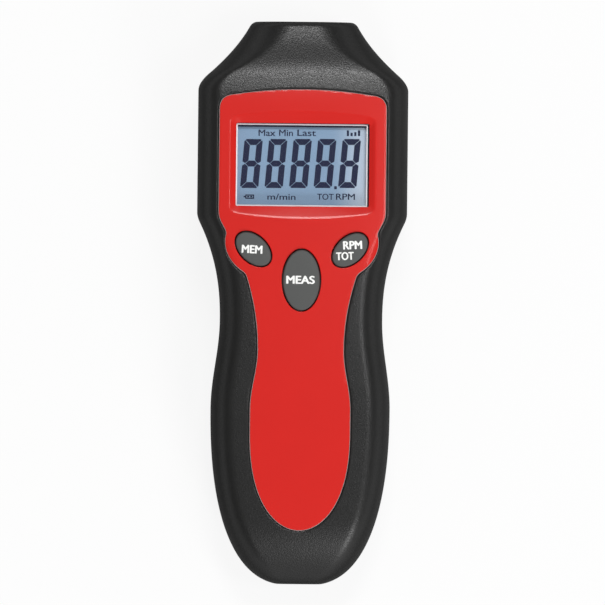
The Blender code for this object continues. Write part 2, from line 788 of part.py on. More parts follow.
def face_slab(name, top_offset, bottom_offset, collection=CUTTERS, look=None):
    """A curved slab that follows the front shell's facets between two depths below them."""
    rings = []
    for station in body_stations():
        if not PANEL_TAIL_STATION - TAIL_WALL < station < RIDGE:
            continue
        right = front_profile(station)[:-2]
        face = [(-x, z) for x, z in reversed(right[1:])] + right
        top = [place(x, station, z + top_offset) for x, z in face]
        bottom = [place(x, station, z + bottom_offset) for x, z in face]
        rings.append(top + bottom[::-1])
    return loft(name, rings, collection, look)


def dish_cutter():
    """The sloping dish around the display opening, with bowed upper and lower edges."""
    square = subdivide(rounded_rectangle(1.0, 1.0, 0.12, 3))
    rings = []
    for half_x, half_y, bow, height in (
        (DISH_HALF_WIDTH + FIT, DISH_HALF_HEIGHT + FIT, DISH_BOW, HEAD_DEPTH + FIT),
        (DISH_HALF_WIDTH, DISH_HALF_HEIGHT, DISH_BOW, HEAD_DEPTH - FACE_CROWN / 4),
        (OPENING_HALF_WIDTH, OPENING_HALF_HEIGHT, 0.0, DISH_HEIGHT),
    ):
        ring = []
        for u, v in square:
            bowed = half_y + bow * (1 - u ** 2)
            ring.append(place(u * half_x, DISPLAY_STATION + v * bowed, height))
        rings.append(ring)
    return loft("dish_cutter", rings)


def subdivide(outline, longest=0.3):
    """Splits an outline's long sides so that they can be bowed."""
    points = []
    for index, (x, y) in enumerate(outline):
        next_x, next_y = outline[(index + 1) % len(outline)]
        pieces = max(1, math.ceil(math.hypot(next_x - x, next_y - y) / longest))
        for piece in range(pieces):
            share = piece / pieces
            points.append((x + (next_x - x) * share, y + (next_y - y) * share))
    return points


KEYS = {
    "meas": (0.0, MEASURE_KEY_STATION, MEASURE_KEY_ACROSS, MEASURE_KEY_ALONG, 0.0),
    "mem": (-SIDE_KEY_OFFSET, SIDE_KEY_STATION, SIDE_KEY_LONG, SIDE_KEY_SHORT, -SIDE_KEY_SLANT),
    "rpm_tot": (SIDE_KEY_OFFSET, SIDE_KEY_STATION, SIDE_KEY_LONG, SIDE_KEY_SHORT, SIDE_KEY_SLANT),
}

RUBBER = material("soft_black", (0.035, 0.035, 0.036), 0.55)
RED = material("panel_red", (0.72, 0.025, 0.022), 0.35)
GREY = material("key_grey", (0.10, 0.10, 0.10), 0.6)
CLEAR = material("clear_plastic", (0.85, 0.9, 0.92), 0.05, alpha=0.3)
LCD = material("lcd_grey_blue", (0.33, 0.42, 0.52), 0.2)
WHITE = material("white_plastic", (0.8, 0.8, 0.78), 0.5)
DARK = material("dark_plastic", (0.02, 0.02, 0.02), 0.5)
BOARD = material("board_green", (0.03, 0.2, 0.07), 0.45)
STEEL = material("screw_steel", (0.55, 0.55, 0.56), 0.35, 1.0)
BRASS = material("brass", (0.7, 0.5, 0.2), 0.3, 1.0)
LEAD_RED = material("lead_red", (0.6, 0.03, 0.03), 0.5)
FOAM = material("foam", (0.06, 0.06, 0.07), 0.95)
CASE = material("battery_case", (0.2, 0.22, 0.26), 0.35, 0.6)


def front_structure(hollow):
    """Leaves the screw bosses and board posts standing in the front's hollow."""
    for index, (x, station) in enumerate(HOUSING_SCREWS):
        low, high = (x, station, 0.0), (x, station, HEAD_DEPTH)
        cut(hollow, rod(f"front_boss_{index}", BOSS_RADIUS, low, high))
    for index, (x, station) in enumerate(BOARD_SCREWS):
        low = (x, station, BOARD_TOP + FIT)
        cut(hollow, rod(f"board_post_{index}", BOARD_POST_RADIUS, low, (x, station, HEAD_DEPTH)))


def front_shell(outline):
    """The upper half of the housing, with a recess for the panel."""
    parting = PARTING_HEIGHT + FIT / 2
    shell = housing_solid("front_shell", front_profile, parting, PARTS, RUBBER)
    hollow = cavity_solid("front_hollow", front_profile, PARTING_HEIGHT - 0.002, ROOF_WALL)
    front_structure(hollow)
    cut(shell, hollow)

    pocket = face_slab("panel_pocket", 0.0010, -PANEL_THICKNESS - FIT)
    keep_inside(pocket, prism("pocket_outline", offset_outline(outline, FIT), 0.0, 0.06))
    cut(shell, pocket)

    opening = rounded_rectangle(SURROUND_HALF_WIDTH + FIT, SURROUND_HALF_HEIGHT + FIT, 0.002)
    opening = around(opening, 0.0, DISPLAY_STATION)
    cut(shell, prism("display_hole", opening, LCD_BOTTOM, HEAD_DEPTH + OVERCUT))
    for name, (x, station, across, along, slant) in KEYS.items():
        hole = oval(x, station, across, along, slant, KEY_GAP + FIT)
        cut(shell, prism(f"shell_hole_{name}", hole, BOARD_TOP, HEAD_DEPTH + OVERCUT))
    for index, (x, station) in enumerate(HOUSING_SCREWS):
        high = HOUSING_SCREW_DEPTH + HOUSING_SCREW_LENGTH + OVERCUT
        low = (x, station, PARTING_HEIGHT - OVERCUT)
        radius = HOUSING_SCREW_RADIUS + FIT
        cut(shell, rod(f"front_screw_hole_{index}", radius, low, (x, station, high), 16))
    for index, (x, station) in enumerate(BOARD_SCREWS):
        low = (x, station, BOARD_TOP)
        high = (x, station, BOARD_BOTTOM + BOARD_SCREW_LENGTH + OVERCUT)
        radius = BOARD_SCREW_RADIUS + FIT
        cut(shell, rod(f"post_hole_{index}", radius, low, high, 12))
    cut(shell, *port_cutters("front"))


def port_cutters(side):
    """The optical port through the nose: recess, window groove and opening."""
    recess = NOSE - PORT_RECESS
    groove = recess - WINDOW_GROOVE
    grow = NOSE_WINDOW_OVERLAP + FIT
    return [
        port_block(f"{side}_port_recess", 0.0, recess, NOSE + OVERCUT, CUTTERS, None),
        port_block(f"{side}_port_groove", grow, groove, recess, CUTTERS, None),
        port_block(f"{side}_port_bore", 0.0, NOSE - NOSE_WALL - OVERCUT, groove + FIT, CUTTERS, None),
    ]


def port_block(name, grow, start, end, collection, look):
    """A rounded block on the port's axis between two stations."""
    outline = rounded_rectangle(PORT_HALF_WIDTH + grow, PORT_HALF_HEIGHT + grow, PORT_CORNER)
    rings = [[place(x, station, PORT_HEIGHT + z) for x, z in outline] for station in (start, end)]
    return loft(name, rings, collection, look)


def rear_structure(hollow):
    """Leaves the battery compartment, door rails, bosses and optics seat in the rear's hollow."""
    wall = COMPARTMENT_WALL
    cut(hollow, box(
        "compartment_block",
        (-COMPARTMENT_HALF - wall, COMPARTMENT_START - wall, -OVERCUT),
        (COMPARTMENT_HALF + wall, COMPARTMENT_END + wall, HEAD_DEPTH),
    ))
    cut(hollow, box(
        "rail_block",
        (-RAIL_HALF - FIT - wall, 0.0, -OVERCUT),
        (RAIL_HALF + FIT + wall, DOOR_END + 2 * wall, DOOR_THICKNESS + FIT + wall),
    ))
    for index, (x, station) in enumerate(HOUSING_SCREWS):
        low, high = (x, station, -OVERCUT), (x, station, PARTING_HEIGHT + OVERCUT)
        cut(hollow, rod(f"rear_boss_{index}", BOSS_RADIUS + BOSS_SKIRT, low, high, 24))
    cut(hollow, box(
        "optics_seat",
        (-HOLDER_HALF_WIDTH + SEAT_INSET, HOLDER_START + SEAT_INSET, 0.0),
        (HOLDER_HALF_WIDTH - SEAT_INSET, NOSE, PORT_HEIGHT - HOLDER_HALF_HEIGHT - FIT),
    ))


def rear_shell():
    """The lower half of the housing, with the battery compartment."""
    parting = PARTING_HEIGHT - FIT / 2
    wall = COMPARTMENT_WALL
    shell = housing_solid("rear_shell", back_profile, parting, PARTS, RUBBER)
    hollow = cavity_solid("rear_hollow", back_profile, PARTING_HEIGHT + 0.002, FLOOR_WALL)
    rear_structure(hollow)
    cut(shell, hollow)
    join(shell, box(
        "compartment_upper",
        (-COMPARTMENT_HALF - wall, COMPARTMENT_START - wall, PARTING_HEIGHT - OVERCUT - wall),
        (COMPARTMENT_HALF + wall, COMPARTMENT_END + wall, COMPARTMENT_TOP + wall),
        bevel=1.5 * wall,
    ))
    cut(shell, box(
        "compartment_room",
        (-COMPARTMENT_HALF, COMPARTMENT_START, -OVERCUT),
        (COMPARTMENT_HALF, COMPARTMENT_END, COMPARTMENT_TOP),
    ))
    cut(shell, box(
        "lead_notch",
        (-LEAD_SPACING, COMPARTMENT_END - OVERCUT, (BATTERY_BOTTOM + BATTERY_TOP) / 2),
        (LEAD_SPACING, COMPARTMENT_END + 2 * wall, COMPARTMENT_TOP + 2 * wall),
    ))
    door_path = rounded_rectangle(DOOR_HALF + FIT, DOOR_END, DOOR_CORNER)
    door_path = around(door_path, 0.0, FIT)
    cut(shell, prism("door_path", door_path, -OVERCUT, DOOR_THICKNESS + FIT))
    cut(shell, box(
        "tongue_path",
        (-RAIL_HALF - FIT, -OVERCUT, DOOR_LIP - FIT),
        (RAIL_HALF + FIT, DOOR_END - DOOR_CORNER + FIT, DOOR_THICKNESS + FIT),
    ))
    for index, (x, station) in enumerate(HOUSING_SCREWS):
        counterbore = HOUSING_SCREW_HEAD + FIT
        top = HOUSING_SCREW_DEPTH + FIT
        low = (x, station, -OVERCUT)
        cut(shell, rod(f"counterbore_{index}", counterbore, low, (x, station, top)))
        high = (x, station, PARTING_HEIGHT + OVERCUT)
        radius = HOUSING_SCREW_RADIUS + FIT
        cut(shell, rod(f"rear_screw_hole_{index}", radius, low, high, 16))
    cut(shell, *port_cutters("rear"))


def front_panel(outline):
    """The red panel, its key openings, and the surround that frames the display."""
    panel = face_slab("front_panel", 0.0, -PANEL_THICKNESS, PARTS, RED)
    keep_inside(panel, prism("panel_outline", outline, 0.0, 0.06))
    surround = rounded_rectangle(SURROUND_HALF_WIDTH, SURROUND_HALF_HEIGHT, 0.0017)
    surround = around(surround, 0.0, DISPLAY_STATION)
    top = HEAD_DEPTH - PANEL_THICKNESS + 0.0002
    join(panel, prism("surround", surround, WINDOW_BOTTOM, top))
    cut(panel, dish_cutter())
    opening = rounded_rectangle(OPENING_HALF_WIDTH, OPENING_HALF_HEIGHT, 0.0004, 1)
    opening = around(opening, 0.0, DISPLAY_STATION)
    cut(panel, prism("opening", opening, LCD_TOP - OVERCUT, HEAD_DEPTH + OVERCUT))
    pocket = rounded_rectangle(WINDOW_HALF_WIDTH + FIT, WINDOW_HALF_HEIGHT + FIT, 0.0010, 2)
    pocket = around(pocket, 0.0, DISPLAY_STATION)
    cut(panel, prism("window_pocket", pocket, LCD_TOP - OVERCUT, WINDOW_TOP + FIT))
    for name, (x, station, across, along, slant) in KEYS.items():
        hole = oval(x, station, across, along, slant, KEY_GAP)
        cut(panel, prism(f"panel_hole_{name}", hole, BOARD_TOP, HEAD_DEPTH + OVERCUT))


def display():
    """Window, LCD cell and what carries it on the board."""
    middle = DISPLAY_STATION
    window = rounded_rectangle(WINDOW_HALF_WIDTH, WINDOW_HALF_HEIGHT, 0.0008, 2)
    window = around(window, 0.0, middle)
    prism("display_window", window, WINDOW_BOTTOM, WINDOW_TOP, PARTS, CLEAR)

    half_x, half_y = WINDOW_HALF_WIDTH, WINDOW_HALF_HEIGHT
    glass = ((-half_x, middle - half_y, LCD_BOTTOM), (half_x, middle + half_y, LCD_TOP))
    box("lcd_glass", *glass, PARTS, LCD)

    outer_x, outer_y = half_x + FIT + HOLDER_WALL, half_y + FIT + HOLDER_WALL
    low, high = BOARD_TOP + FIT, LCD_TOP - 0.0005
    holder = box(
        "lcd_holder", (-outer_x, middle - outer_y, low), (outer_x, middle + outer_y, high), PARTS, DARK
    )
    room_x, room_y = half_x + FIT, half_y + FIT
    cut(holder, box(
        "holder_room",
        (-room_x, middle - room_y, low - OVERCUT), (room_x, middle + room_y, high + OVERCUT),
    ))

    low, high = BOARD_TOP + FIT, LCD_BOTTOM - FIT
    end = half_x - CONTACT_STRIP_INSET
    for side, name in ((-1, "elastomer_strip_lower"), (1, "elastomer_strip_upper")):
        outside = middle + side * (room_y - FIT)
        inside = outside - side * CONTACT_STRIP_WIDTH
        near, far = min(outside, inside), max(outside, inside)
        box(name, (-end, near, low), (end, far, high), PARTS, DARK)
    reach = room_y - CONTACT_STRIP_WIDTH - 2 * FIT
    box(
        "backlight_diffuser", (-end, middle - reach, low), (end, middle + reach, high),
        PARTS, WHITE,
    )


def key_ring(key, grow, height_of):
    x, station, across, along, slant = key
    outline = oval(x, station, across, along, slant, grow)
    return [place(px, py, height_of(px, py)) for px, py in outline]


def key_piece(name, key):
    """One key: a crowned oval cap, a flange that keeps it in, and a stem over its switch."""
    x, station, across, along, slant = key
    flange = oval(x, station, across, along, slant, KEY_FLANGE)
    flange_top = min(roof_height(px, py) for px, py in flange) - FIT
    flange_bottom = flange_top - KEY_FLANGE_THICKNESS
    stem_bottom = plunger_top() + FIT

    def stem_ring(height):
        outline = oval(x, station, PLUNGER_RADIUS, PLUNGER_RADIUS, slant)
        return [place(px, py, height) for px, py in outline]

    def above_face(rise):
        return lambda px, py: front_height(px, py) + rise

    def level(height):
        return lambda px, py: height

    rings = [
        stem_ring(stem_bottom),
        stem_ring(flange_bottom),
        key_ring(key, KEY_FLANGE, level(flange_bottom)),
        key_ring(key, KEY_FLANGE, level(flange_top)),
        key_ring(key, 0.0, level(flange_top)),
        key_ring(key, 0.0, above_face(KEY_RISE - KEY_EDGE)),
        key_ring(key, -0.3 * KEY_EDGE, above_face(KEY_RISE - 0.3 * KEY_EDGE)),
        key_ring(key, -KEY_EDGE, above_face(KEY_RISE)),
        key_ring(key, -0.5 * across, above_face(KEY_RISE + 0.0001)),
    ]
    cap = loft(f"key_{name}", rings, PARTS, GREY)
    pivot = place(x, station, flange_top)
    cap.data.transform(Matrix.Translation(-pivot))
    cap.location = pivot


def switch_top():
    return BOARD_TOP + FIT + SWITCH_HEIGHT


def plunger_top():
    return switch_top() + PLUNGER_RISE


def tactile_switch(name, key):
    """A switch on the board, and the plunger that its key pushes in."""
    x, station = key[0], key[1]
    half = SWITCH_SIDE / 2
    body = box(
        f"switch_{name}", (x - half, station - half, BOARD_TOP + FIT),
        (x + half, station + half, switch_top()), PARTS, DARK,
    )
    well = switch_top() - PLUNGER_DEPTH - KEY_TRAVEL
    radius = PLUNGER_RADIUS + FIT
    cut(body, rod(f"well_{name}", radius, (x, station, well), (x, station, switch_top() + OVERCUT)))
    bottom = well + KEY_TRAVEL + FIT
    profile = [(0.0, plunger_top() - bottom), (PLUNGER_RADIUS, plunger_top() - bottom)]
    profile += [(PLUNGER_RADIUS, 0.0), (0.0, 0.0)]
    turned(f"plunger_{name}", profile, (x, station, bottom), RED, steps=16)


def circuit_board():
    """The board hangs from the front shell's posts and carries the electronics below it."""
    right = [
        (BOARD_LOWER_HALF, BOARD_TAIL_STATION),
        (BOARD_LOWER_HALF, BOARD_WIDE_STATION - BOARD_WIDE_STEP),
        (BOARD_HALF, BOARD_WIDE_STATION),
        (BOARD_HALF, BOARD_NECK_STATION),
        (BOARD_TOP_HALF, BOARD_NECK_STATION),
        (BOARD_TOP_HALF, SHOULDER),
    ]
    outline = right + [(-x, station) for x, station in reversed(right)]
    board = prism("circuit_board", outline, BOARD_BOTTOM, BOARD_TOP, PARTS, BOARD)
    for index, (x, station) in enumerate(BOARD_SCREWS):
        low, high = (x, station, BOARD_BOTTOM - OVERCUT), (x, station, BOARD_TOP + OVERCUT)
        cut(board, rod(f"board_hole_{index}", BOARD_SCREW_RADIUS + FIT, low, high, 12))

    under = BOARD_BOTTOM - FIT
    half = CHIP_SIDE / 2
    box(
        "controller_chip", (-half, DISPLAY_STATION - half, under - CHIP_HEIGHT),
        (half, DISPLAY_STATION + half, under), PARTS, DARK, 0.0002,
    )
    half_x, half_y = CRYSTAL_WIDTH / 2, CRYSTAL_LENGTH / 2
    x = CRYSTAL_INSET - BOARD_HALF
    box(
        "crystal", (x - half_x, DISPLAY_STATION - half_y, under - CRYSTAL_HEIGHT),
        (x + half_x, DISPLAY_STATION + half_y, under), PARTS, STEEL, 0.0012,
    )
    half = REGULATOR_SIDE / 2
    x, station = BOARD_LOWER_HALF * REGULATOR_SHARE, BOARD_TAIL_STATION + REGULATOR_INSET
    box(
        "regulator", (x - half, station - half, under - REGULATOR_HEIGHT),
        (x + half, station + half, under), PARTS, DARK, 0.0002,
    )
    station = BOARD_WIDE_STATION + BOARD_WIDE_STEP
    for name, (share, radius, height) in CAPACITORS.items():
        profile = [(0.0, height), (radius, height), (radius, 0.0), (0.0, 0.0)]
        turned(name, profile, (BOARD_HALF * share, station, under - height), DARK)


def screw(name, radius, head_radius, head_height, length, center, look=STEEL):
    """A pan-head screw pointing up, with a cross recess in its head."""
    profile = [
        (0.0, head_height + length),
        (0.8 * radius, head_height + length),
        (radius, head_height + length - radius),
        (radius, head_height),
        (head_radius, head_height),
        (0.85 * head_radius, 0.0),
        (0.0, 0.0),
    ]
    made = turned(name, profile, center, look, steps=8)
    x, station, z = center
    arm, slot, depth = 0.62 * head_radius, 0.14 * head_radius, 0.5 * head_height
    for index, (half_x, half_y) in enumerate(((arm, slot), (slot, arm))):
        cut(made, box(
            f"{name}_recess_{index}",
            (x - half_x, station - half_y, z - OVERCUT), (x + half_x, station + half_y, z + depth),
        ))


def fasteners():
    for index, (x, station) in enumerate(HOUSING_SCREWS, 1):
        bottom = HOUSING_SCREW_DEPTH - HOUSING_SCREW_HEAD_HEIGHT
        screw(
            f"housing_screw_{index}", HOUSING_SCREW_RADIUS, HOUSING_SCREW_HEAD,
            HOUSING_SCREW_HEAD_HEIGHT, HOUSING_SCREW_LENGTH, (x, station, bottom),
        )
    for index, (x, station) in enumerate(BOARD_SCREWS, 1):
        bottom = BOARD_BOTTOM - FIT - BOARD_SCREW_HEAD_HEIGHT
        screw(
            f"board_screw_{index}", BOARD_SCREW_RADIUS, BOARD_SCREW_HEAD,
            BOARD_SCREW_HEAD_HEIGHT, BOARD_SCREW_LENGTH, (x, station, bottom),
        )


def battery_door():
    """A flush plate with side tongues in the shell's grooves, and ridges for the thumb."""
    length = DOOR_END - DOOR_TAIL_STATION
    middle = (DOOR_END + DOOR_TAIL_STATION) / 2
    plate = rounded_rectangle(DOOR_HALF, length / 2, DOOR_CORNER)
    door = prism("battery_door", around(plate, 0.0, middle), -OVERCUT, DOOR_THICKNESS, PARTS, RUBBER)
    tongues = box(
        "door_tongues", (-RAIL_HALF, DOOR_TAIL_STATION + DOOR_CORNER, DOOR_LIP),
        (RAIL_HALF, DOOR_END - DOOR_CORNER, DOOR_THICKNESS),
    )
    join(door, tongues)
    keep_inside(door, housing_solid("door_skin", back_profile, PARTING_HEIGHT))
    for step in range(GROOVES):
        station = DOOR_TAIL_STATION + GROOVE_INSET + GROOVE_PITCH * step
        reach = GROOVE_REACH - GROOVE_TAPER * abs(step - (GROOVES - 1) / 2)
        low, high = (-reach, station, -OVERCUT), (reach, station + GROOVE_WIDTH, GROOVE_DEPTH)
        cut(door, box(f"groove_{step}", low, high))


def battery():
    """The battery with its terminals, the snap connector on them and its two leads."""
    half = BATTERY_WIDTH / 2
    axis = BATTERY_BOTTOM + BATTERY_DEPTH / 2
    case = ((-half, BATTERY_STATION, BATTERY_BOTTOM), (half, BATTERY_END, BATTERY_TOP))
    box("battery_9v", *case, PARTS, CASE, 0.0015)
    low, start = BATTERY_TOP + FIT, BATTERY_STATION + PAD_INSET
    box(
        "battery_pad", (-PAD_HALF_WIDTH, start, low),
        (PAD_HALF_WIDTH, start + PAD_LENGTH, low + PAD_THICKNESS), PARTS, FOAM,
    )
    for side, (name, radius) in zip((-1, 1), TERMINAL_RADIUS.items()):
        neck, height = 0.8 * radius, TERMINAL_HEIGHT
        profile = [(0.0, height), (0.85 * radius, height), (radius, 0.7 * height)]
        profile += [(neck, 0.3 * height), (neck, 0.0), (0.0, 0.0)]
        center = (side * TERMINAL_SPACING / 2, BATTERY_END + FIT, axis)
        turned(name, profile, center, STEEL, "Y", 16)
    box(
        "battery_snap", (-SNAP_HALF_WIDTH, TERMINAL_END + FIT, axis - SNAP_HALF_HEIGHT),
        (SNAP_HALF_WIDTH, SNAP_END, axis + SNAP_HALF_HEIGHT), PARTS, DARK, 0.0008,
    )
    for name, side, look in (("lead_red", -1, LEAD_RED), ("lead_black", 1, DARK)):
        x = side * LEAD_SPACING / 2
        end, top = BOARD_TAIL_STATION + BOARD_POST_INSET, BOARD_BOTTOM - FIT
        route = [(x, SNAP_END + FIT, axis + LEAD_EXIT_RISE)]
        for share, reach, rise in LEAD_BENDS:
            route.append((x * share, COMPARTMENT_END + reach, axis + rise))
        x *= LEAD_END_SHARE
        route += [(x, end, top - LEAD_DROP), (x, end + LEAD_LEAN, top)]
        tube(name, [place(*point) for point in route], LEAD_RADIUS, look)


def tube(name, points, radius, look):
    """A wire along a smooth curve through its points."""
    samples = []
    for index in range(len(points) - 1):
        before = points[max(0, index - 1)]
        first, second = points[index], points[index + 1]
        after = points[min(len(points) - 1, index + 2)]
        for step in range(2):
            t = step / 2
            samples.append(0.5 * (
                2 * first + (second - before) * t
                + (2 * before - 5 * first + 4 * second - after) * t ** 2
                + (3 * first - before - 3 * second + after) * t ** 3
            ))
    samples.append(points[-1])
    data = bpy.data.curves.new(name, "CURVE")
    data.dimensions = "3D"
    data.bevel_depth = radius
    data.bevel_resolution = 2
    data.use_fill_caps = True
    spline = data.splines.new("POLY")
    spline.points.add(len(samples) - 1)
    for point, sample in zip(spline.points, samples):
        point.co = (*sample, 1.0)
    data.materials.append(look)
    return link(data, name, PARTS)


def optics():
    """Laser module and receiver in a holder behind the nose window."""
    start = NOSE - PORT_RECESS - WINDOW_GROOVE + FIT
    port_block(
        "nose_window", NOSE_WINDOW_OVERLAP, start, start + NOSE_WINDOW_THICKNESS, PARTS, CLEAR,
    )

    outline = rounded_rectangle(HOLDER_HALF_WIDTH, HOLDER_HALF_HEIGHT, 0.0012, 2)
    rings = []
    for station in (HOLDER_START, HOLDER_END):
        rings.append([place(x, station, PORT_HEIGHT + z) for x, z in outline])
    holder = loft("sensor_holder", rings, PARTS, DARK)
    for name, x, radius in (
        ("laser_bore", LASER_OFFSET, LASER_RADIUS + FIT),
        ("receiver_bore", RECEIVER_OFFSET, RECEIVER_RADIUS + FIT),
    ):
        low = (x, HOLDER_START - OVERCUT, PORT_HEIGHT)
        cut(holder, rod(name, radius, low, (x, HOLDER_END + OVERCUT, PORT_HEIGHT), 24))

    barrel_start = HOLDER_END - FIT - LASER_LENGTH
    mouth = LASER_LENGTH - LASER_MOUTH_DEPTH
    profile = [
        (0.0, mouth),
        (LASER_MOUTH_RADIUS, mouth),
        (LASER_MOUTH_RADIUS, LASER_LENGTH),
        (LASER_RADIUS, LASER_LENGTH),
        (LASER_RADIUS, 0.0),
        (0.0, 0.0),
    ]
    turned("laser_barrel", profile, (LASER_OFFSET, barrel_start, PORT_HEIGHT), BRASS, "Y")
    lens = dome(LASER_LENS_RADIUS, LASER_LENS_HEIGHT, 0.0, 3)
    center = (LASER_OFFSET, barrel_start + mouth + FIT, PORT_HEIGHT)
    turned("laser_lens", lens, center, CLEAR, "Y", 16)

    lens = dome(RECEIVER_RADIUS, RECEIVER_LENS_HEIGHT, RECEIVER_LENS_RIM, 4)
    center = (RECEIVER_OFFSET, HOLDER_END - RECEIVER_LENS_DEPTH, PORT_HEIGHT)
    turned("receiver_lens", lens, center, CLEAR, "Y")
    half = PHOTODIODE_SIDE / 2
    start = HOLDER_START + PHOTODIODE_INSET
    low = (RECEIVER_OFFSET - half, start, PORT_HEIGHT - half)
    high = (RECEIVER_OFFSET + half, start + PHOTODIODE_DEPTH, PORT_HEIGHT + half)
    box("photodiode", low, high, PARTS, DARK, 0.0003)


def dome(radius, height, rim, steps):
    """A lens's profile: a domed top, a straight rim and a flat base."""
    points = []
    for step in range(steps + 1):
        angle = math.radians(90) * step / steps
        points.append((radius * math.sin(angle), rim + (height - rim) * math.cos(angle)))
    if rim:
        points.append((radius, 0.0))
    return points + [(0.0, 0.0)]


def settle(item, graph):
    """Applies a piece's cuts, marks the sharp edges they left and keeps its flat areas flat."""
    settled = bpy.data.meshes.new_from_object(item.evaluated_get(graph))
    settled.name = item.name
    settled.shade_smooth()
    settled.set_sharp_from_angle(angle=SMOOTH_ANGLE)
    item.modifiers.clear()
    item.data = settled
    item.modifiers.new("even_shading", "WEIGHTED_NORMAL").keep_sharp = True


def build():
    outline = panel_outline()
    front_shell(outline)
    rear_shell()
    front_panel(outline)
    display()
    for name, key in KEYS.items():
        key_piece(name, key)
        tactile_switch(name, key)
    circuit_board()
    fasteners()
    battery_door()
    battery()
    optics()
    graph = bpy.context.evaluated_depsgraph_get()
    for item in PARTS.objects:
        if item.type == "MESH":
            settle(item, graph)


build()
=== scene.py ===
"""Looks of the handheld laser tachometer: fine skins, display, legends, materials and light.

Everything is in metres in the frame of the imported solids. Stations along the body are measured
from the tail, and `place` turns them into scene points.
"""
import json
import math

import bmesh
import bpy
from mathutils import Matrix, Vector
from mathutils.bvhtree import BVHTree

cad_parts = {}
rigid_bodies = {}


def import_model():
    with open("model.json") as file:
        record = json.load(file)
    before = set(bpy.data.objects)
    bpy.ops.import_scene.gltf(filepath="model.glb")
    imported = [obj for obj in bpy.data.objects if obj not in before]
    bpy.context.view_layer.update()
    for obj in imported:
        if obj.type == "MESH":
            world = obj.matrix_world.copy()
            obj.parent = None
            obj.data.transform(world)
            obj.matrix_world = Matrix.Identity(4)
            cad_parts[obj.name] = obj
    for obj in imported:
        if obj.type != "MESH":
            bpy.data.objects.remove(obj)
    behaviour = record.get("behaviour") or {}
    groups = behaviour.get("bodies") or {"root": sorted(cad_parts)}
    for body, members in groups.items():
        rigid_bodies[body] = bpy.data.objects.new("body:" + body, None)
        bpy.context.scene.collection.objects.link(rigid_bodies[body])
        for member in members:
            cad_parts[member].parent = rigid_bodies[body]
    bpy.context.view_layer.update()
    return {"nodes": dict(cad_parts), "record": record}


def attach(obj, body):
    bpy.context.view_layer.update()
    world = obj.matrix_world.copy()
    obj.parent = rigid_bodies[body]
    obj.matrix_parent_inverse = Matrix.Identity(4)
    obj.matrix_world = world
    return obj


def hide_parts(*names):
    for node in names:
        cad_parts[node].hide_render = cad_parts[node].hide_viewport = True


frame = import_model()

# Gap between pieces that seat on or in each other
FIT = 0.0003

# Stations along the housing: its widest place, its waist, where the head starts and its face turns
# flat, the brow and the ridge before the nose's slope, the shoulder, and the nose's end
BELLY = 0.0497
WAIST = 0.0753
HEAD = 0.1043
FACE_FLAT = 0.1180
BROW = 0.1358
SHOULDER = 0.1426
NOSE = 0.1600
RIDGE_REACH = 0.0142
RIDGE = NOSE - RIDGE_REACH

# Housing seen from the front
BELLY_HALF = 0.0255
WAIST_HALF = 0.0231
HEAD_HALF = 0.02985
NOSE_HALF = 0.0147
TAIL_TRIM = 0.0005
HEAD_BLEND = 0.0008
SHOULDER_BLEND = 0.0030

# How full and square the rounded ends are, and how hollow the flare and the nose are
TAIL_SHAPE = (2.27, 2.77)
END_SHAPE = (2.2, 2.2)
PANEL_END_SHAPE = (2.42, 2.0)
FLARE_POWER = 2.25
FUNNEL_STRAIGHT = 0.57

# Housing seen from the side
HEAD_DEPTH = 0.0417
TAIL_DEPTH = 0.0277
PARTING_HEIGHT = 0.0170
BROW_DROP = 0.0008
NOSE_TOP_DROP = 0.0052
NOSE_BACK_RISE = 0.0080
NOSE_BACK_BLEND = 0.0008
RIDGE_BOW = 0.16
RIDGE_BLEND = 0.0009
TAIL_FRONT_ROUND = 0.0200
TAIL_BACK_ROUND = 0.0150
FACE_CROWN = 0.0008
FRONT_CORNER_ACROSS = 0.0068
FRONT_CORNER_DOWN = 0.0110
BACK_CORNER_ACROSS = 0.0070
BACK_CORNER_UP = 0.0080
WIDEST_CORNER = 0.5
NOSE_CORNER_SHARE = 0.8
DEEPEST_CORNER = 0.9
NOSE_EDGE = 0.0013
TAIL_ROUND = 0.0004

# How many sections the tail has and which comes first, the stretches after it as (start, pitch of
# their sections), and the stride at which the hollows take the sections
TAIL_SECTIONS = 44
FIRST_SECTION = 4
STRETCHES = (
    (BELLY, 0.0009),
    (HEAD - 0.0010, 0.0002),
    (HEAD + 0.0012, 0.0008),
    (SHOULDER - 0.0030, 0.00025),
    (RIDGE - 0.0016, 0.00015),
    (RIDGE + 0.0008, 0.0005),
)
HOLLOW_STRIDE = 14

# Housing walls, how far a cutter reaches past what it cuts, how far the hollows reach past the
# parting, and a height above the whole front
SIDE_WALL = 0.0024
ROOF_WALL = 0.0032
FLOOR_WALL = 0.0024
TAIL_WALL = 0.0060
NOSE_WALL = 0.0046
OVERCUT = 0.0010
HOLLOW_OVERLAP = 0.0020
ABOVE_HEAD = HEAD_DEPTH + OVERCUT

# Red front panel, let into the front shell
PANEL_THICKNESS = 0.0013
PANEL_HEAD_HALF = 0.0237
PANEL_WAIST_HALF = 0.0122
PANEL_BELLY_HALF = 0.01425
PANEL_TAIL_STATION = 0.0154
PANEL_END_LENGTH = 0.0286
PANEL_WAIST = 0.0668
PANEL_TOP_STATION = 0.1407
PANEL_STRIP_FLARE = 0.0063
PANEL_TOP_BOW = 0.0023
PANEL_SHOULDER = 0.0034
PANEL_TAPER = 0.55
PANEL_BLEND = 0.0015
PANEL_SIDE_END = 0.1233
LOBE_MARGIN = 0.0028
LOBE_BLEND = 0.0003

# How an outline is sampled, grown and softened; softness is (pull towards neighbours, passes)
OUTLINE_SAMPLES = 60
SHOULDER_STEPS = 6
BOW_SHARES = (0.8, 0.6, 0.4, 0.2)
SIDE_PITCH = 0.0002
OUTLINE_PITCH = 0.00035
OUTLINE_SOFTNESS = (0.25, 7)
GROWTH_STEP = 0.0001
GROWTH_SOFTNESS = (0.1, 1)

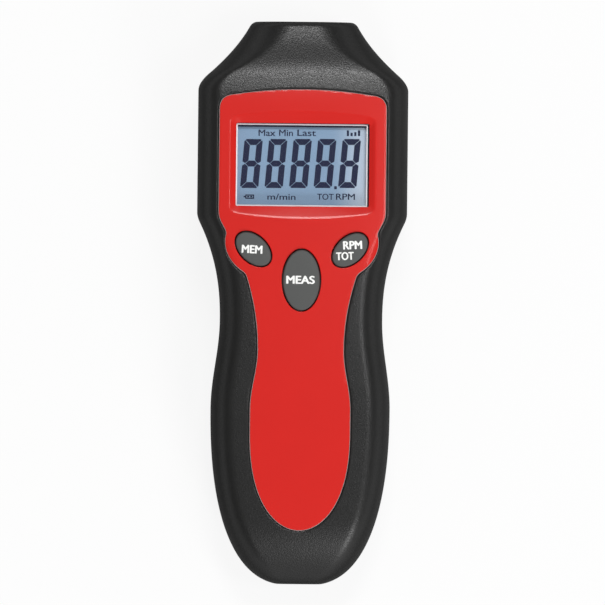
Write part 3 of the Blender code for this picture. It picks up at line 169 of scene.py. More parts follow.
# Display: half sizes and corners about its station, the dish around it, with its rim, corner, step
# and shares of the way from its edge to the opening, and the heights of the layers
DISPLAY_STATION = 0.1193
OPENING_HALF = (0.0189, 0.0118)
OPENING_CORNER = 0.0004
DISH_HALF = (0.0206, 0.0136)
DISH_BOW = 0.0016
DISH_RIM = 0.16
DISH_CORNER = 0.11
DISH_STEP = 0.04
DISH_RIM_STEPS = 4
DISH_SHARES = (0.4, 0.7, 1.0)
DISH_LIFT = 0.00001
WINDOW_HALF = (0.0203, 0.0132)
WINDOW_CORNER = 0.0010
SURROUND_HALF = (0.0222, 0.0151)
SURROUND_CORNER = 0.0017
SURROUND_HOLE_CORNER = 0.0020
SURROUND_OVERLAP = 0.0002
DISH_HEIGHT = 0.0404
WINDOW_TOP = 0.0391
WINDOW_BOTTOM = 0.0381
LCD_TOP = 0.0378
LCD_BOTTOM = 0.0350
BOARD_TOP = 0.0308

# Keys as (x, station, half across, half along, slant in degrees): an upright oval in the middle and
# a slanting one on each side
SIDE_KEY_STATION = 0.0953
SIDE_KEY_OFFSET = PANEL_HEAD_HALF * 0.578
SIDE_KEY_LONG = PANEL_HEAD_HALF * 0.2468
SIDE_KEY_SHORT = 0.00375
SIDE_KEY_SLANT = 42.0
KEYS = {
    "meas": (0.0, 0.0866, PANEL_HEAD_HALF * 0.2215, 0.0086, 0.0),
    "mem": (-SIDE_KEY_OFFSET, SIDE_KEY_STATION, SIDE_KEY_LONG, SIDE_KEY_SHORT, -SIDE_KEY_SLANT),
    "rpm_tot": (SIDE_KEY_OFFSET, SIDE_KEY_STATION, SIDE_KEY_LONG, SIDE_KEY_SHORT, SIDE_KEY_SLANT),
}
KEY_GAP = 0.00035
KEY_RISE = 0.0008
KEY_EDGE = 0.0005
KEY_CROWN = 0.00012
CROWN_SHARES = (0.35, 0.55, 0.75, 0.95)
KEY_FLANGE = 0.0011
KEY_FLANGE_THICKNESS = 0.0008
STEM_RADIUS = 0.0016
STEM_BOTTOM = 0.0353
LOBE_LONG = SIDE_KEY_LONG + KEY_GAP + LOBE_MARGIN
LOBE_SHORT = SIDE_KEY_SHORT + KEY_GAP + LOBE_MARGIN

# Screws as (x, station), the bosses and posts around them, and the cross recess in their heads
HOUSING_SCREWS = ((-0.0203, 0.1382), (0.0203, 0.1382), (-0.0194, 0.0470), (0.0194, 0.0470))
BOARD_SCREWS = ((-0.0090, 0.1396), (0.0090, 0.1396), (-0.0120, 0.0790), (0.0120, 0.0790))
BOARD_POST_RADIUS = 0.0023
FRONT_BOSS_RADIUS = 0.0032
REAR_BOSS_RADIUS = 0.0040
SCREW_RADIUS = 0.0014
SCREW_HEAD = 0.0026
SCREW_HEAD_HEIGHT = 0.0018
SCREW_LENGTH = 0.0140
SCREW_DEPTH = 0.0085
SCREW_TIP = 0.8 * SCREW_RADIUS
SCREW_FACE = 0.85 * SCREW_HEAD
CROSS_ARM = 0.62 * SCREW_HEAD
CROSS_SLOT = 0.14 * SCREW_HEAD
CROSS_DEPTH = 0.5 * SCREW_HEAD_HEIGHT

# Battery compartment
COMPARTMENT_HALF = 0.01355
COMPARTMENT_START = 0.0149
COMPARTMENT_END = 0.0692
COMPARTMENT_TOP = 0.0217
COMPARTMENT_WALL = 0.0015
COMPARTMENT_ROUND = 1.5 * COMPARTMENT_WALL
LEAD_SPACING = 0.0064
LEAD_HEIGHT = 0.01135

# Battery door, which slides off towards the tail, and the ridges for the thumb
DOOR_THICKNESS = 0.0020
DOOR_LIP = 0.0010
DOOR_HALF = 0.0145
DOOR_START = 0.0115
DOOR_END = 0.06995
DOOR_CORNER = 0.0035
RAIL_HALF = 0.0157
GROOVES = 6
GROOVE_START = 0.0175
GROOVE_PITCH = 0.0020
GROOVE_WIDTH = 0.0009
GROOVE_DEPTH = 0.0005
GROOVE_REACH = 0.0085
GROOVE_TAPER = 0.0007

# Optics in the nose, on an axis halfway up its end
PORT_HALF = (0.0105, 0.0060)
PORT_CORNER = 0.0022
PORT_RECESS = 0.0013
PORT_HEIGHT = (NOSE_BACK_RISE + HEAD_DEPTH - NOSE_TOP_DROP) / 2
NOSE_WINDOW_GROOVE = 0.0019
NOSE_WINDOW_OVERLAP = 0.0012
SEAT_HALF = 0.0088
SEAT_START = 0.1461
SEAT_TOP = 0.01535
LASER_OFFSET = -0.0055
LASER_RADIUS = 0.0032
LASER_START = 0.1368
LASER_LENGTH = 0.0180
LASER_MOUTH_RADIUS = 0.0022
LASER_MOUTH = 0.0160
LASER_LENS_RADIUS = 0.0019
LASER_LENS_HEIGHT = 0.0010
RECEIVER_OFFSET = 0.0052
RECEIVER_START = 0.1517
RECEIVER_RADIUS = 0.0043
RECEIVER_HEIGHT = 0.0026
RECEIVER_RIM = 0.0006

# How close points are merged, rounded edges, the painted highlight line around the panel, print, and
# the painted highlight and painted shade lines at the display window's edge
MERGE = 0.00001
SMOOTH_ANGLE = math.radians(35)
BEVEL_ANGLE = math.radians(40)
LIP_ROUND = 0.0007
PANEL_ROUND = 0.0003
PANEL_GAP = 0.00012
HOLE_ROUND = 0.00022
RIM_LIFT = 0.03
RIM_REACH = 0.00028
RIM_RISE = 0.0005
EDGE_LINE = 0.00018
PRINT_RISE = 0.00003
INK_BASE = 0.00001
INK_RISE = 0.00005
EDGING_ROOM = 0.00002
PALE_WIDTH = 0.00036
SIDE_SHADE = 0.00045
TOP_SHADE = 0.00055

# The photo's scale, its row at the tail, and the ends (column, row) of the object's axis in it
PHOTO_SCALE = 0.0002841
PHOTO_TAIL_ROW = 585.0
PHOTO_AXIS = (303.7, 24.0, 297.9, 580.0)

# Words on the keys and on the display: name, text and their left, top, right and bottom in the photo
LEGENDS = (
    ("legend_mem", "MEM", (241.4, 245.2, 262.2, 253.4), "mem", -2.5),
    ("legend_meas", "MEAS", (285.8, 275.7, 314.5, 284.0), "meas", 0.0),
    ("legend_rpm", "RPM", (342.6, 241.0, 361.7, 249.4), "rpm_tot", 2.5),
    ("legend_tot", "TOT", (335.6, 252.1, 353.4, 260.2), "rpm_tot", 2.5),
)
DISPLAY_WORDS = (
    ("display_word_max", "Max", (258.2, 129.8, 275.0, 136.2)),
    ("display_word_min", "Min", (278.8, 129.8, 292.6, 136.2)),
    ("display_word_last", "Last", (297.0, 129.8, 315.6, 136.2)),
    ("display_word_speed", "m/min", (267.0, 193.8, 295.2, 199.9)),
    ("display_word_count", "TOT", (316.8, 193.8, 333.2, 199.9)),
    ("display_word_turns", "RPM", (335.6, 193.8, 354.5, 199.9)),
)
LEGEND_WEIGHT = 0.045
WORD_WEIGHT = 0.012
LETTER_DEPTH = 0.1
LETTER_STEPS = 6

# The display's digits and icons: places are (column, row) in the photo, sizes are in metres
DIGITS = 5
DIGIT_PLACE = (239.6, 188.0)
DIGIT_PITCH = 24.5
DIGIT_SIZE = (0.0052, 0.0139)
SEGMENT_WIDTH = 0.00168
SEGMENT_GAP = 0.00010
DIGIT_SLANT = math.radians(4.9)
POINT_PLACE = (333.8, 189.3)
POINT_SIZE = (0.00075, 0.00085)
BAR_PLACE = (346.4, 136.2)
BAR_PITCH = 3.7
BAR_WIDTH = 0.00062
BAR_HEIGHTS = (0.0016, 0.0009, 0.0011, 0.0016)
BATTERY_PLACE = (245.0, 198.8)
BATTERY_SIZE = (0.0025, 0.0012)
BATTERY_LINE = 0.0003
BATTERY_BARS = ((-0.0005, 0.0005), (0.0005, 0.0006), (0.0014, 0.0006))
BATTERY_BAR_HEIGHT = 0.0004

# The photo was taken straight down with a long lens; its frame's width is measured at the face
CAMERA_DISTANCE = 5.0
CAMERA_OFFSET = (0.00038, 0.00026)
CAMERA_TURN = math.radians(0.6)
CAMERA_REACH = 50.0
FRAME_WIDTH = 0.1716
SENSOR_WIDTH = 36.0

# Lamps as (name, place, size, power), the world's (height, grey) stops, and the floor
LAMPS = (
    ("nose_light", (0.05, 0.54, 1.15), (0.26, 0.20), 6.4),
    ("low_light", (0.44, -1.02, 0.70), (0.36, 0.38), 7.8),
    ("right_light", (0.45, -0.06, 1.21), (0.18, 0.34), 3.2),
)
LAMP_AIM = (0.0, 0.0, 0.02)
WORLD_STOPS = ((0.30, 0.12), (0.88, 0.44))
FLOOR_GREY = 0.8
FLOOR_HALF = 20.0
FLOOR_GAP = 0.0002
FLOOR_WHITE_SHARE = 0.88

# How a surface clouds and how its gloss varies, and how sharply a soft-touch coat dulls at its edges
CLOUD_SCALE = 110.0
CLOUD_DETAIL = 5.0
GRAIN_DETAIL = 3.0
GRAIN_RANGE = (0.3, 0.7)
EDGE_SHARPNESS = 1.6

# The display's ground with painted light, paler towards its right end: where the pale part starts as a
# share of the opening, its strength and its colour
PAINTED_LIGHT_START = 0.4
PAINTED_LIGHT_SHARE = 0.75
PAINTED_LIGHT_COLOR = (0.62, 0.72, 0.84, 1.0)

# Sockets of a Mix node's two colours and of their mixture
MIX_A = 6
MIX_B = 7
MIXED = 2

CUTTERS = bpy.data.collections.new("cutters")
PARTS = bpy.data.collections.new("dressed_pieces")
for collection in (CUTTERS, PARTS):
    bpy.context.scene.collection.children.link(collection)


def place(x, station, z):
    """A point in the scene from its station along the body."""
    return Vector((x, station - NOSE / 2, z))


def soft_ramp(value, blend):
    """Zero below -blend, value above blend, and a parabola between."""
    if value <= -blend:
        return 0.0
    if value >= blend:
        return value
    return (value + blend) ** 2 / (4 * blend)


def soft_min(a, b, blend):
    return a - soft_ramp(a - b, blend)


def soft_max(a, b, blend):
    return b + soft_ramp(a - b, blend)


def round_end(distance, reach, trim, fullness, squareness):
    """How far a rounded end has opened, 0 to 1, at a distance from its trimmed tip."""
    if distance >= reach:
        return 1.0
    share = (reach - distance) / (reach + trim)
    return (1 - share ** fullness) ** (1 / squareness)


def funnel(share):
    """The nose's hollow flare, 0 at its end and 1 where it meets the head."""
    return FUNNEL_STRAIGHT * share + (1 - FUNNEL_STRAIGHT) * share ** 2


def swing(share, start, end):
    """A smooth swing from one width to another as share goes from 0 to 1."""
    return end + (start - end) * (1 + math.cos(math.pi * share)) / 2


def half_width(station):
    """Half the width of the housing, seen from the front."""
    if station < BELLY:
        grip = BELLY_HALF * round_end(station, BELLY, TAIL_TRIM, *TAIL_SHAPE)
    elif station < WAIST:
        grip = swing((station - BELLY) / (WAIST - BELLY), BELLY_HALF, WAIST_HALF)
    else:
        share = (station - WAIST) / (HEAD - WAIST)
        grip = WAIST_HALF + (HEAD_HALF - WAIST_HALF) * share ** FLARE_POWER
    flare = funnel((NOSE - station) / (NOSE - SHOULDER))
    nose = NOSE_HALF + (HEAD_HALF - NOSE_HALF) * flare
    return soft_min(soft_min(grip, HEAD_HALF, HEAD_BLEND), nose, SHOULDER_BLEND)


def spine_height(x, station):
    """Height of the front face before its crown and its corners."""
    height = HEAD_DEPTH
    if station < FACE_FLAT:
        height -= (HEAD_DEPTH - TAIL_DEPTH) * ((FACE_FLAT - station) / FACE_FLAT) ** 2
    elif station > BROW:
        height -= BROW_DROP * ((station - BROW) / (RIDGE - BROW)) ** 2
    opened = round_end(station, TAIL_FRONT_ROUND, TAIL_TRIM, *END_SHAPE)
    height = PARTING_HEIGHT + (height - PARTING_HEIGHT) * opened
    reach = (NOSE - station) * (1 - RIDGE_BOW * (x / HEAD_HALF) ** 2)
    nose = HEAD_DEPTH - NOSE_TOP_DROP * (1 - funnel(reach / RIDGE_REACH))
    return soft_min(height, nose, RIDGE_BLEND)


def crown_height(x, station):
    return spine_height(x, station) - FACE_CROWN * (x / HEAD_HALF) ** 2


def front_corner(station):
    """Where the front's rounded corner starts, its reach across and its reach down."""
    half = half_width(station)
    across = min(FRONT_CORNER_ACROSS, WIDEST_CORNER * half)
    rounding = max(0.0, 1 - (NOSE - station) / RIDGE_REACH)
    across += (NOSE_CORNER_SHARE * half - across) * rounding
    start = half - across
    deepest = DEEPEST_CORNER * (crown_height(start, station) - PARTING_HEIGHT)
    return start, across, min(FRONT_CORNER_DOWN, deepest)


def front_height(x, station):
    """Height of the front shell's outer surface."""
    start, across, down = front_corner(station)
    x = abs(x)
    if x <= start:
        return crown_height(x, station)
    turn = min(1.0, (x - start) / across)
    return crown_height(start, station) - down * (1 - math.sqrt(1 - turn ** 2))


def back_height(station):
    """Height of the back along its middle: flat, but for the tail and the nose."""
    tail = PARTING_HEIGHT * (1 - round_end(station, TAIL_BACK_ROUND, TAIL_TRIM, *END_SHAPE))
    lift = NOSE_BACK_RISE * (1 - funnel((NOSE - station) / RIDGE_REACH))
    return tail + soft_ramp(lift, NOSE_BACK_BLEND)


def quarter_turn(steps):
    """Sine and cosine at even steps from 0 to 90 degrees."""
    turns = [math.radians(90) * step / steps for step in range(steps + 1)]
    return [(math.sin(turn), math.cos(turn)) for turn in turns]


def front_profile(station, crown_steps=12, corner_steps=14):
    """Right half of the front's outline across the body, from the middle to the parting."""
    start, across, down = front_corner(station)
    crown = [start * step / crown_steps for step in range(crown_steps + 1)]
    points = [(x, crown_height(x, station)) for x in crown]
    edge = crown_height(start, station)
    for sine, cosine in quarter_turn(corner_steps)[1:]:
        points.append((start + across * sine, edge - down * (1 - cosine)))
    return points


def back_profile(station, flat_steps=8, corner_steps=12):
    """Right half of the back's outline across the body, from the middle to the parting."""
    half = half_width(station)
    bottom = back_height(station)
    across = min(BACK_CORNER_ACROSS, WIDEST_CORNER * half)
    up = min(BACK_CORNER_UP, DEEPEST_CORNER * (PARTING_HEIGHT - bottom))
    start = half - across
    points = [(start * step / flat_steps, bottom) for step in range(flat_steps + 1)]
    for sine, cosine in quarter_turn(corner_steps)[1:]:
        points.append((start + across * sine, bottom + up * (1 - cosine)))
    return points


def closed_ring(profile, parting, width_scale, height_scale):
    """A full outline from its right half, closed along the parting plane."""
    right = [
        (x * width_scale, PARTING_HEIGHT + (z - PARTING_HEIGHT) * height_scale)
        for x, z in profile
    ]
    right.append((right[-1][0], parting))
    return right + [(-x, z) for x, z in reversed(right) if x > 0]


def pitched(low, high, pitch):
    """Evenly spaced stations from low up to, but not at, high."""
    count = max(1, round((high - low) / pitch))
    return [low + (high - low) * step / count for step in range(count)]


def body_stations():
    """Stations of the housing's sections."""
    stations = [BELLY * (step / TAIL_SECTIONS) ** 2 for step in range(FIRST_SECTION, TAIL_SECTIONS)]
    ends = [start for start, pitch in STRETCHES[1:]] + [NOSE - NOSE_EDGE]
    for (start, pitch), end in zip(STRETCHES, ends):
        stations += pitched(start, end, pitch)
    return stations


def edge_rings(radius, steps=9):
    """Reach back from an end, and inset, of the rounded edge around it."""
    return [(radius * (1 - sine), radius * (1 - cosine)) for sine, cosine in quarter_turn(steps)]


def link(data, name=None):
    """Puts mesh or curve data in the scene, as a piece by its name or as a nameless cutter."""
    made = bpy.data.objects.new(name or "cutter", data)
    (PARTS if name else CUTTERS).objects.link(made)
    return made


def finish_mesh(shape, name=None):
    """Turns a bmesh into a smooth-shaded object with its faces pointing out."""
    bmesh.ops.recalc_face_normals(shape, faces=shape.faces)
    data = bpy.data.meshes.new(name or "cutter")
    shape.to_mesh(data)
    shape.free()
    data.shade_smooth()
    data.set_sharp_from_angle(angle=SMOOTH_ANGLE)
    return link(data, name)


def bridge(shape, low, high):
    """Faces between two rings of equally many points."""
    for here in range(len(low)):
        after = (here + 1) % len(low)
        shape.faces.new((low[here], low[after], high[after], high[here]))


def tube(shape, rings):
    """Walls through rings of equally many points, with both ends capped."""
    rows = [[shape.verts.new(point) for point in ring] for ring in rings]
    for low, high in zip(rows, rows[1:]):
        bridge(shape, low, high)
    shape.faces.new(rows[0])
    shape.faces.new(rows[-1])


def loft(rings, name=None):
    """A closed solid through rings of points."""
    shape = bmesh.new()
    tube(shape, rings)
    return finish_mesh(shape, name)


def raised(outline, low, high):
    """The lower and the upper ring of a flat outline of (x, station) points."""
    return [[place(x, station, z) for x, station in outline] for z in (low, high)]


def prism(outline, low, high, name=None):
    """A flat outline, raised from one height to another."""
    return loft(raised(outline, low, high), name)


def block(half, start, end, low, high, middle=0.0):
    """A box across the body: half its width, its stations and its heights."""
    shape = bmesh.new()
    bmesh.ops.create_cube(shape, size=1.0)
    size = (2 * half, end - start, high - low)
    bmesh.ops.transform(shape, matrix=Matrix.Diagonal((*size, 1.0)), verts=shape.verts)
    made = finish_mesh(shape)
    made.location = place(middle, (start + end) / 2, (low + high) / 2)
    return made


def round_edges(target, width):
    bevel = target.modifiers.new("rounded_edges", "BEVEL")
    bevel.width = width
    bevel.segments = 1
    bevel.limit_method = "ANGLE"
    bevel.angle_limit = BEVEL_ANGLE


def rod(radius, x, station, low, high, sides=20):
    """An upright round rod from one height to another."""
    shape = bmesh.new()
    bmesh.ops.create_cone(
        shape, cap_ends=True, segments=sides, radius1=radius, radius2=radius, depth=high - low,
    )
    made = finish_mesh(shape)
    made.location = place(x, station, (low + high) / 2)
    return made


def combine(target, tool, operation):
    boolean = target.modifiers.new(operation.lower(), "BOOLEAN")
    boolean.operation = operation
    boolean.object = tool
    boolean.solver = "MANIFOLD"


def cut(target, *tools):
    for tool in tools:
        combine(target, tool, "DIFFERENCE")


def join(target, *tools):
    for tool in tools:
        combine(target, tool, "UNION")


def keep_inside(target, tool):
    combine(target, tool, "INTERSECT")


def turned(name, profile, center, axis="Z", steps=40):
    """A turned piece: (radius, height) points down its outer side, spun with a Screw modifier."""
    shape = bmesh.new()
    chain = [shape.verts.new((radius, 0.0, height)) for radius, height in profile]
    for first, second in zip(chain, chain[1:]):
        shape.edges.new((first, second))
    data = bpy.data.meshes.new(name)
    shape.to_mesh(data)
    shape.free()
    made = link(data, name)
    spin = made.modifiers.new("turn", "SCREW")
    spin.steps = steps
    spin.render_steps = steps
    spin.use_merge_vertices = True
    spin.merge_threshold = MERGE
    made.location = place(*center)
    if axis == "Y":
        made.rotation_euler = (math.radians(-90), 0.0, 0.0)
    return made


def offset_outline(outline, distance):
    """Moves a counter-clockwise outline outwards by a distance."""
    moved = []
    count = len(outline)
    for index, (x, y) in enumerate(outline):
        before = outline[index - 1]
        after = outline[(index + 1) % count]
        along = Vector((after[0] - before[0], after[1] - before[1])).normalized()
        moved.append((x + along.y * distance, y - along.x * distance))
    return moved


def oval(key, grow=0.0, count=96):
    """An ellipse given as a key is: its middle, its half sizes and its slant in degrees."""
    center_x, center_station, across, along, slant = key
    turn = math.radians(slant)
    points = []
    for index in range(count):
        angle = math.tau * index / count
        u = (across + grow) * math.cos(angle)
        v = (along + grow) * math.sin(angle)
        x = center_x + u * math.cos(turn) - v * math.sin(turn)
        station = center_station + u * math.sin(turn) + v * math.cos(turn)
        points.append((x, station))
    return points


def rounded_rectangle(half, corner, grow=0.0, steps=4, middle=0.0):
    """Counter-clockwise points of a rectangle with round corners, from its half sizes."""
    points = []
    for quarter in range(4):
        start = math.radians(90 * quarter)
        side_x = 1 if quarter in (0, 3) else -1
        side_y = 1 if quarter in (0, 1) else -1
        for step in range(steps + 1):
            angle = start + math.radians(90) * step / steps
            x = side_x * (half[0] + grow - corner) + corner * math.cos(angle)
            y = side_y * (half[1] + grow - corner) + corner * math.sin(angle)
            points.append((x, y + middle))
    return points


def housing_solid(profile_of, parting, name=None):
    """The outer form of one half of the housing, with rounded edges around both ends."""
    sections = [(station, 0.0) for station in body_stations()]
    nose = [(NOSE - reach, inset) for reach, inset in edge_rings(NOSE_EDGE)]
    rings = []
    for station, inset in edge_rings(TAIL_ROUND, 4)[::-1] + sections + nose:
        scale = 1 - inset / half_width(station)
        ring = closed_ring(profile_of(station), parting, scale, scale)
        rings.append([place(x, station, z) for x, z in ring])
    return loft(rings, name)


def cavity_solid(profile_of, parting, wall):
    """The hollow of one half of the housing."""
    inner = [s for s in body_stations() if TAIL_WALL < s < NOSE - NOSE_WALL][::HOLLOW_STRIDE]
    rings = []
    for station in [TAIL_WALL] + inner + [NOSE - NOSE_WALL]:
        profile = profile_of(station, 2, 3)
        depth = abs(profile[0][1] - PARTING_HEIGHT)
        width_scale = 1 - SIDE_WALL / half_width(station)
        ring = closed_ring(profile, parting, width_scale, 1 - wall / depth)
        rings.append([place(x, station, z) for x, z in ring])
    return loft(rings)


def roof_height(x, station):
    """Height of the front shell's inner surface."""
    middle = front_height(0.0, station) - PARTING_HEIGHT
    share = 1 - ROOF_WALL / middle
    x = x / (1 - SIDE_WALL / half_width(station))
    return PARTING_HEIGHT + (front_height(x, station) - PARTING_HEIGHT) * share


def panel_half(station):
    """Half the width of the red panel: head, key lobes and grip strip run together."""
    if station < BELLY:
        start = station - PANEL_TAIL_STATION
        return PANEL_BELLY_HALF * round_end(start, PANEL_END_LENGTH, 0.0, *PANEL_END_SHAPE)
    lobed = soft_max(lobe_half(station), strip_half(station), LOBE_BLEND)
    if station < SIDE_KEY_STATION:
        return lobed
    return max(PANEL_HEAD_HALF - PANEL_TAPER * soft_ramp(HEAD - station, PANEL_BLEND), lobed)


def strip_half(station):
    """Half the width of the panel's grip strip above its belly."""
    if station < PANEL_WAIST:
        share = (station - BELLY) / (PANEL_WAIST - BELLY)
        return swing(share, PANEL_BELLY_HALF, PANEL_WAIST_HALF)
    share = (min(station, SIDE_KEY_STATION) - PANEL_WAIST) / (SIDE_KEY_STATION - PANEL_WAIST)
    return PANEL_WAIST_HALF + PANEL_STRIP_FLARE * share ** 2


def lobe_half(station):
    """Reach across of the rounded lobe around a side key, a slanting ellipse."""
    along = station - SIDE_KEY_STATION
    cosine = math.cos(math.radians(SIDE_KEY_SLANT))
    sine = math.sin(math.radians(SIDE_KEY_SLANT))
    a = (cosine / LOBE_LONG) ** 2 + (sine / LOBE_SHORT) ** 2
    b = 2 * along * sine * cosine * (1 / LOBE_LONG ** 2 - 1 / LOBE_SHORT ** 2)
    c = along ** 2 * ((sine / LOBE_LONG) ** 2 + (cosine / LOBE_SHORT) ** 2) - 1
    inside = b ** 2 - 4 * a * c
    if inside <= 0:
        return 0.0
    return SIDE_KEY_OFFSET + (math.sqrt(inside) - b) / (2 * a)


def top_corner():
    """The panel's upper right corner and half of its bowed top edge."""
    corner_x = PANEL_HEAD_HALF - PANEL_SHOULDER
    edge = PANEL_TOP_STATION - PANEL_TOP_BOW * (corner_x / PANEL_HEAD_HALF) ** 2
    slope = math.atan(2 * PANEL_TOP_BOW * corner_x / PANEL_HEAD_HALF ** 2)
    points = []
    for step in range(SHOULDER_STEPS + 1):
        angle = (math.radians(90) - slope) * step / SHOULDER_STEPS
        x = corner_x + PANEL_SHOULDER * math.cos(angle)
        points.append((x, edge - PANEL_SHOULDER + PANEL_SHOULDER * math.sin(angle)))
    for share in BOW_SHARES:
        x = corner_x * share
        points.append((x, PANEL_TOP_STATION - PANEL_TOP_BOW * (x / PANEL_HEAD_HALF) ** 2))
    return points


def resample(outline, pitch):
    """Evenly spaced points along a closed outline."""
    count = len(outline)
    lengths = [math.dist(outline[i], outline[(i + 1) % count]) for i in range(count)]
    total = sum(lengths)
    pieces = round(total / pitch)
    points, index, passed = [], 0, 0.0
    for piece in range(pieces):
        target = total * piece / pieces
        while passed + lengths[index] < target:
            passed += lengths[index]
            index += 1
        share = (target - passed) / lengths[index]
        (ax, ay), (bx, by) = outline[index], outline[(index + 1) % count]
        points.append((ax + (bx - ax) * share, ay + (by - ay) * share))
    return points


def relax(outline, weight, passes):
    """Softens an outline's corners by pulling each point towards its neighbours."""
    for _ in range(passes):
        count = len(outline)
        outline = [
            tuple(
                (1 - 2 * weight) * here + weight * (before + after)
                for before, here, after in zip(outline[i - 1], outline[i], outline[(i + 1) % count])
            )
            for i in range(count)
        ]
    return outline


def grown(outline, distance):
    """An outline moved outwards in small steps, so that its hollow corners don't fold over."""
    steps = max(1, math.ceil(abs(distance) / GROWTH_STEP))
    for _ in range(steps):
        outline = relax(offset_outline(outline, distance / steps), *GROWTH_SOFTNESS)
    return outline


def panel_outline():
    """The red panel's outline, counter-clockwise from the tail's middle."""
    shares = [(step / OUTLINE_SAMPLES) ** 2 for step in range(1, OUTLINE_SAMPLES)]
    stations = [PANEL_TAIL_STATION + PANEL_END_LENGTH * share for share in shares]
    stations += pitched(PANEL_TAIL_STATION + PANEL_END_LENGTH, PANEL_SIDE_END, SIDE_PITCH)
    right = [(panel_half(station), station) for station in stations] + top_corner()
    left = [(-x, station) for x, station in reversed(right)]
    outline = [(0.0, PANEL_TAIL_STATION)] + right + [(0.0, PANEL_TOP_STATION)] + left
    return relax(resample(outline, OUTLINE_PITCH), *OUTLINE_SOFTNESS)


def face_slab(top_offset, bottom_offset, name=None):
    """A curved slab that follows the front between two depths below it."""
    rings = []
    for station in body_stations():
        if not PANEL_TAIL_STATION - TAIL_WALL < station < RIDGE:
            continue
        right = front_profile(station)[:-4]
        face = [(-x, z) for x, z in reversed(right[1:])] + right
        top = [place(x, station, z + top_offset) for x, z in face]
        bottom = [place(x, station, z + bottom_offset) for x, z in face]
        rings.append(top + bottom[::-1])
    return loft(rings, name)


def rim_cutter(outline, wall, side, radius, steps=7):
    """A ring that rounds the edge between the front's surface and a wall.

    The wall stands at an offset from the outline, and side is 1 where the material lies outside
    it and -1 where it lies inside.
    """
    lift = RIM_LIFT * radius
    section = []
    for sine, cosine in quarter_turn(steps):
        across = radius * (1 - sine) - lift
        section.append((wall + side * across, radius * (cosine - 1) + lift))
    free = wall - side * RIM_REACH
    section += [(free, section[-1][1]), (free, RIM_RISE), (section[0][0], RIM_RISE)]
    return face_band(outline, section)


def face_band(outline, section, name=None):
    """A closed band along an outline on the front; its section is (offset, rise) points."""
    rows = {}
    shape = bmesh.new()
    rings = []
    for offset, rise in section:
        if offset not in rows:
            rows[offset] = grown(outline, offset)
        points = [place(x, y, front_height(x, y) + rise) for x, y in rows[offset]]
        rings.append([shape.verts.new(point) for point in points])
    for low, high in zip(rings, rings[1:] + rings[:1]):
        bridge(shape, low, high)
    return finish_mesh(shape, name)


def panel_edge_highlight(outline):
    """A thin bead of painted highlight between the panel and the black lip, pale where the edges would
    catch the light.
    """
    half, low, high, slope = EDGE_LINE / 2, -2 * EDGE_LINE, -EDGE_LINE / 2, EDGE_LINE / 3
    section = [
        (half, low), (half, high - slope), (EDGE_LINE / 6, high),
        (-half, high), (-EDGE_LINE, high - slope), (-EDGE_LINE, low),
    ]
    line = face_band(outline, section, "panel_edge_highlight")
    dress(line, "housing", "white_plastic", look=PAINTED_EDGE_HIGHLIGHT)


def dish_cutter():
    """The dish around the display opening: a soft rim, sloping sides, bowed ends."""
    square = subdivide(rounded_rectangle((1.0, 1.0), DISH_CORNER, steps=8), DISH_STEP)
    profile = [(-DISH_RIM, OVERCUT), (-DISH_RIM, DISH_LIFT)]
    steps = range(1, 2 * DISH_RIM_STEPS + 1)
    profile += [(DISH_RIM * (step / DISH_RIM_STEPS - 1), DISH_LIFT) for step in steps]
    profile += [(share, 0.0) for share in DISH_SHARES]
    rings = []
    for share, lift in profile:
        half_x, half_y = [dish + (far - dish) * share for dish, far in zip(DISH_HALF, OPENING_HALF)]
        bow = DISH_BOW * (1 - max(0.0, share))
        sunk = soft_ramp(share, DISH_RIM)
        ring = []
        for u, v in square:
            x = u * half_x
            station = DISPLAY_STATION + v * (half_y + bow * (1 - u ** 2))
            face = front_height(x, station)
            ring.append(place(x, station, face + lift + (DISH_HEIGHT - face) * sunk))
        rings.append(ring)
    return loft(rings)


def subdivide(outline, longest):
    """Splits an outline's long sides so that they can be bowed."""
    points = []
    for (x, y), (next_x, next_y) in zip(outline, outline[1:] + outline[:1]):
        pieces = max(1, math.ceil(math.hypot(next_x - x, next_y - y) / longest))
        for piece in range(pieces):
            share = piece / pieces
            points.append((x + (next_x - x) * share, y + (next_y - y) * share))
    return points


def node(tree, kind, inputs=(), **settings):
    """A new shader node, its inputs fed by constants or by other nodes' outputs."""
    made = tree.nodes.new(f"ShaderNode{kind}")
    for setting, value in settings.items():
        setattr(made, setting, value)
    feed(tree, made, inputs)
    return made


def feed(tree, target, inputs):
    """Feeds a node's inputs, given as (socket's name or number, constant or output)."""
    for socket, value in inputs:
        if isinstance(value, bpy.types.NodeSocket):
            tree.links.new(value, target.inputs[socket])
        else:
            target.inputs[socket].default_value = value


def maths(tree, operation, *values):
    return node(tree, "Math", enumerate(values), operation=operation).outputs[0]


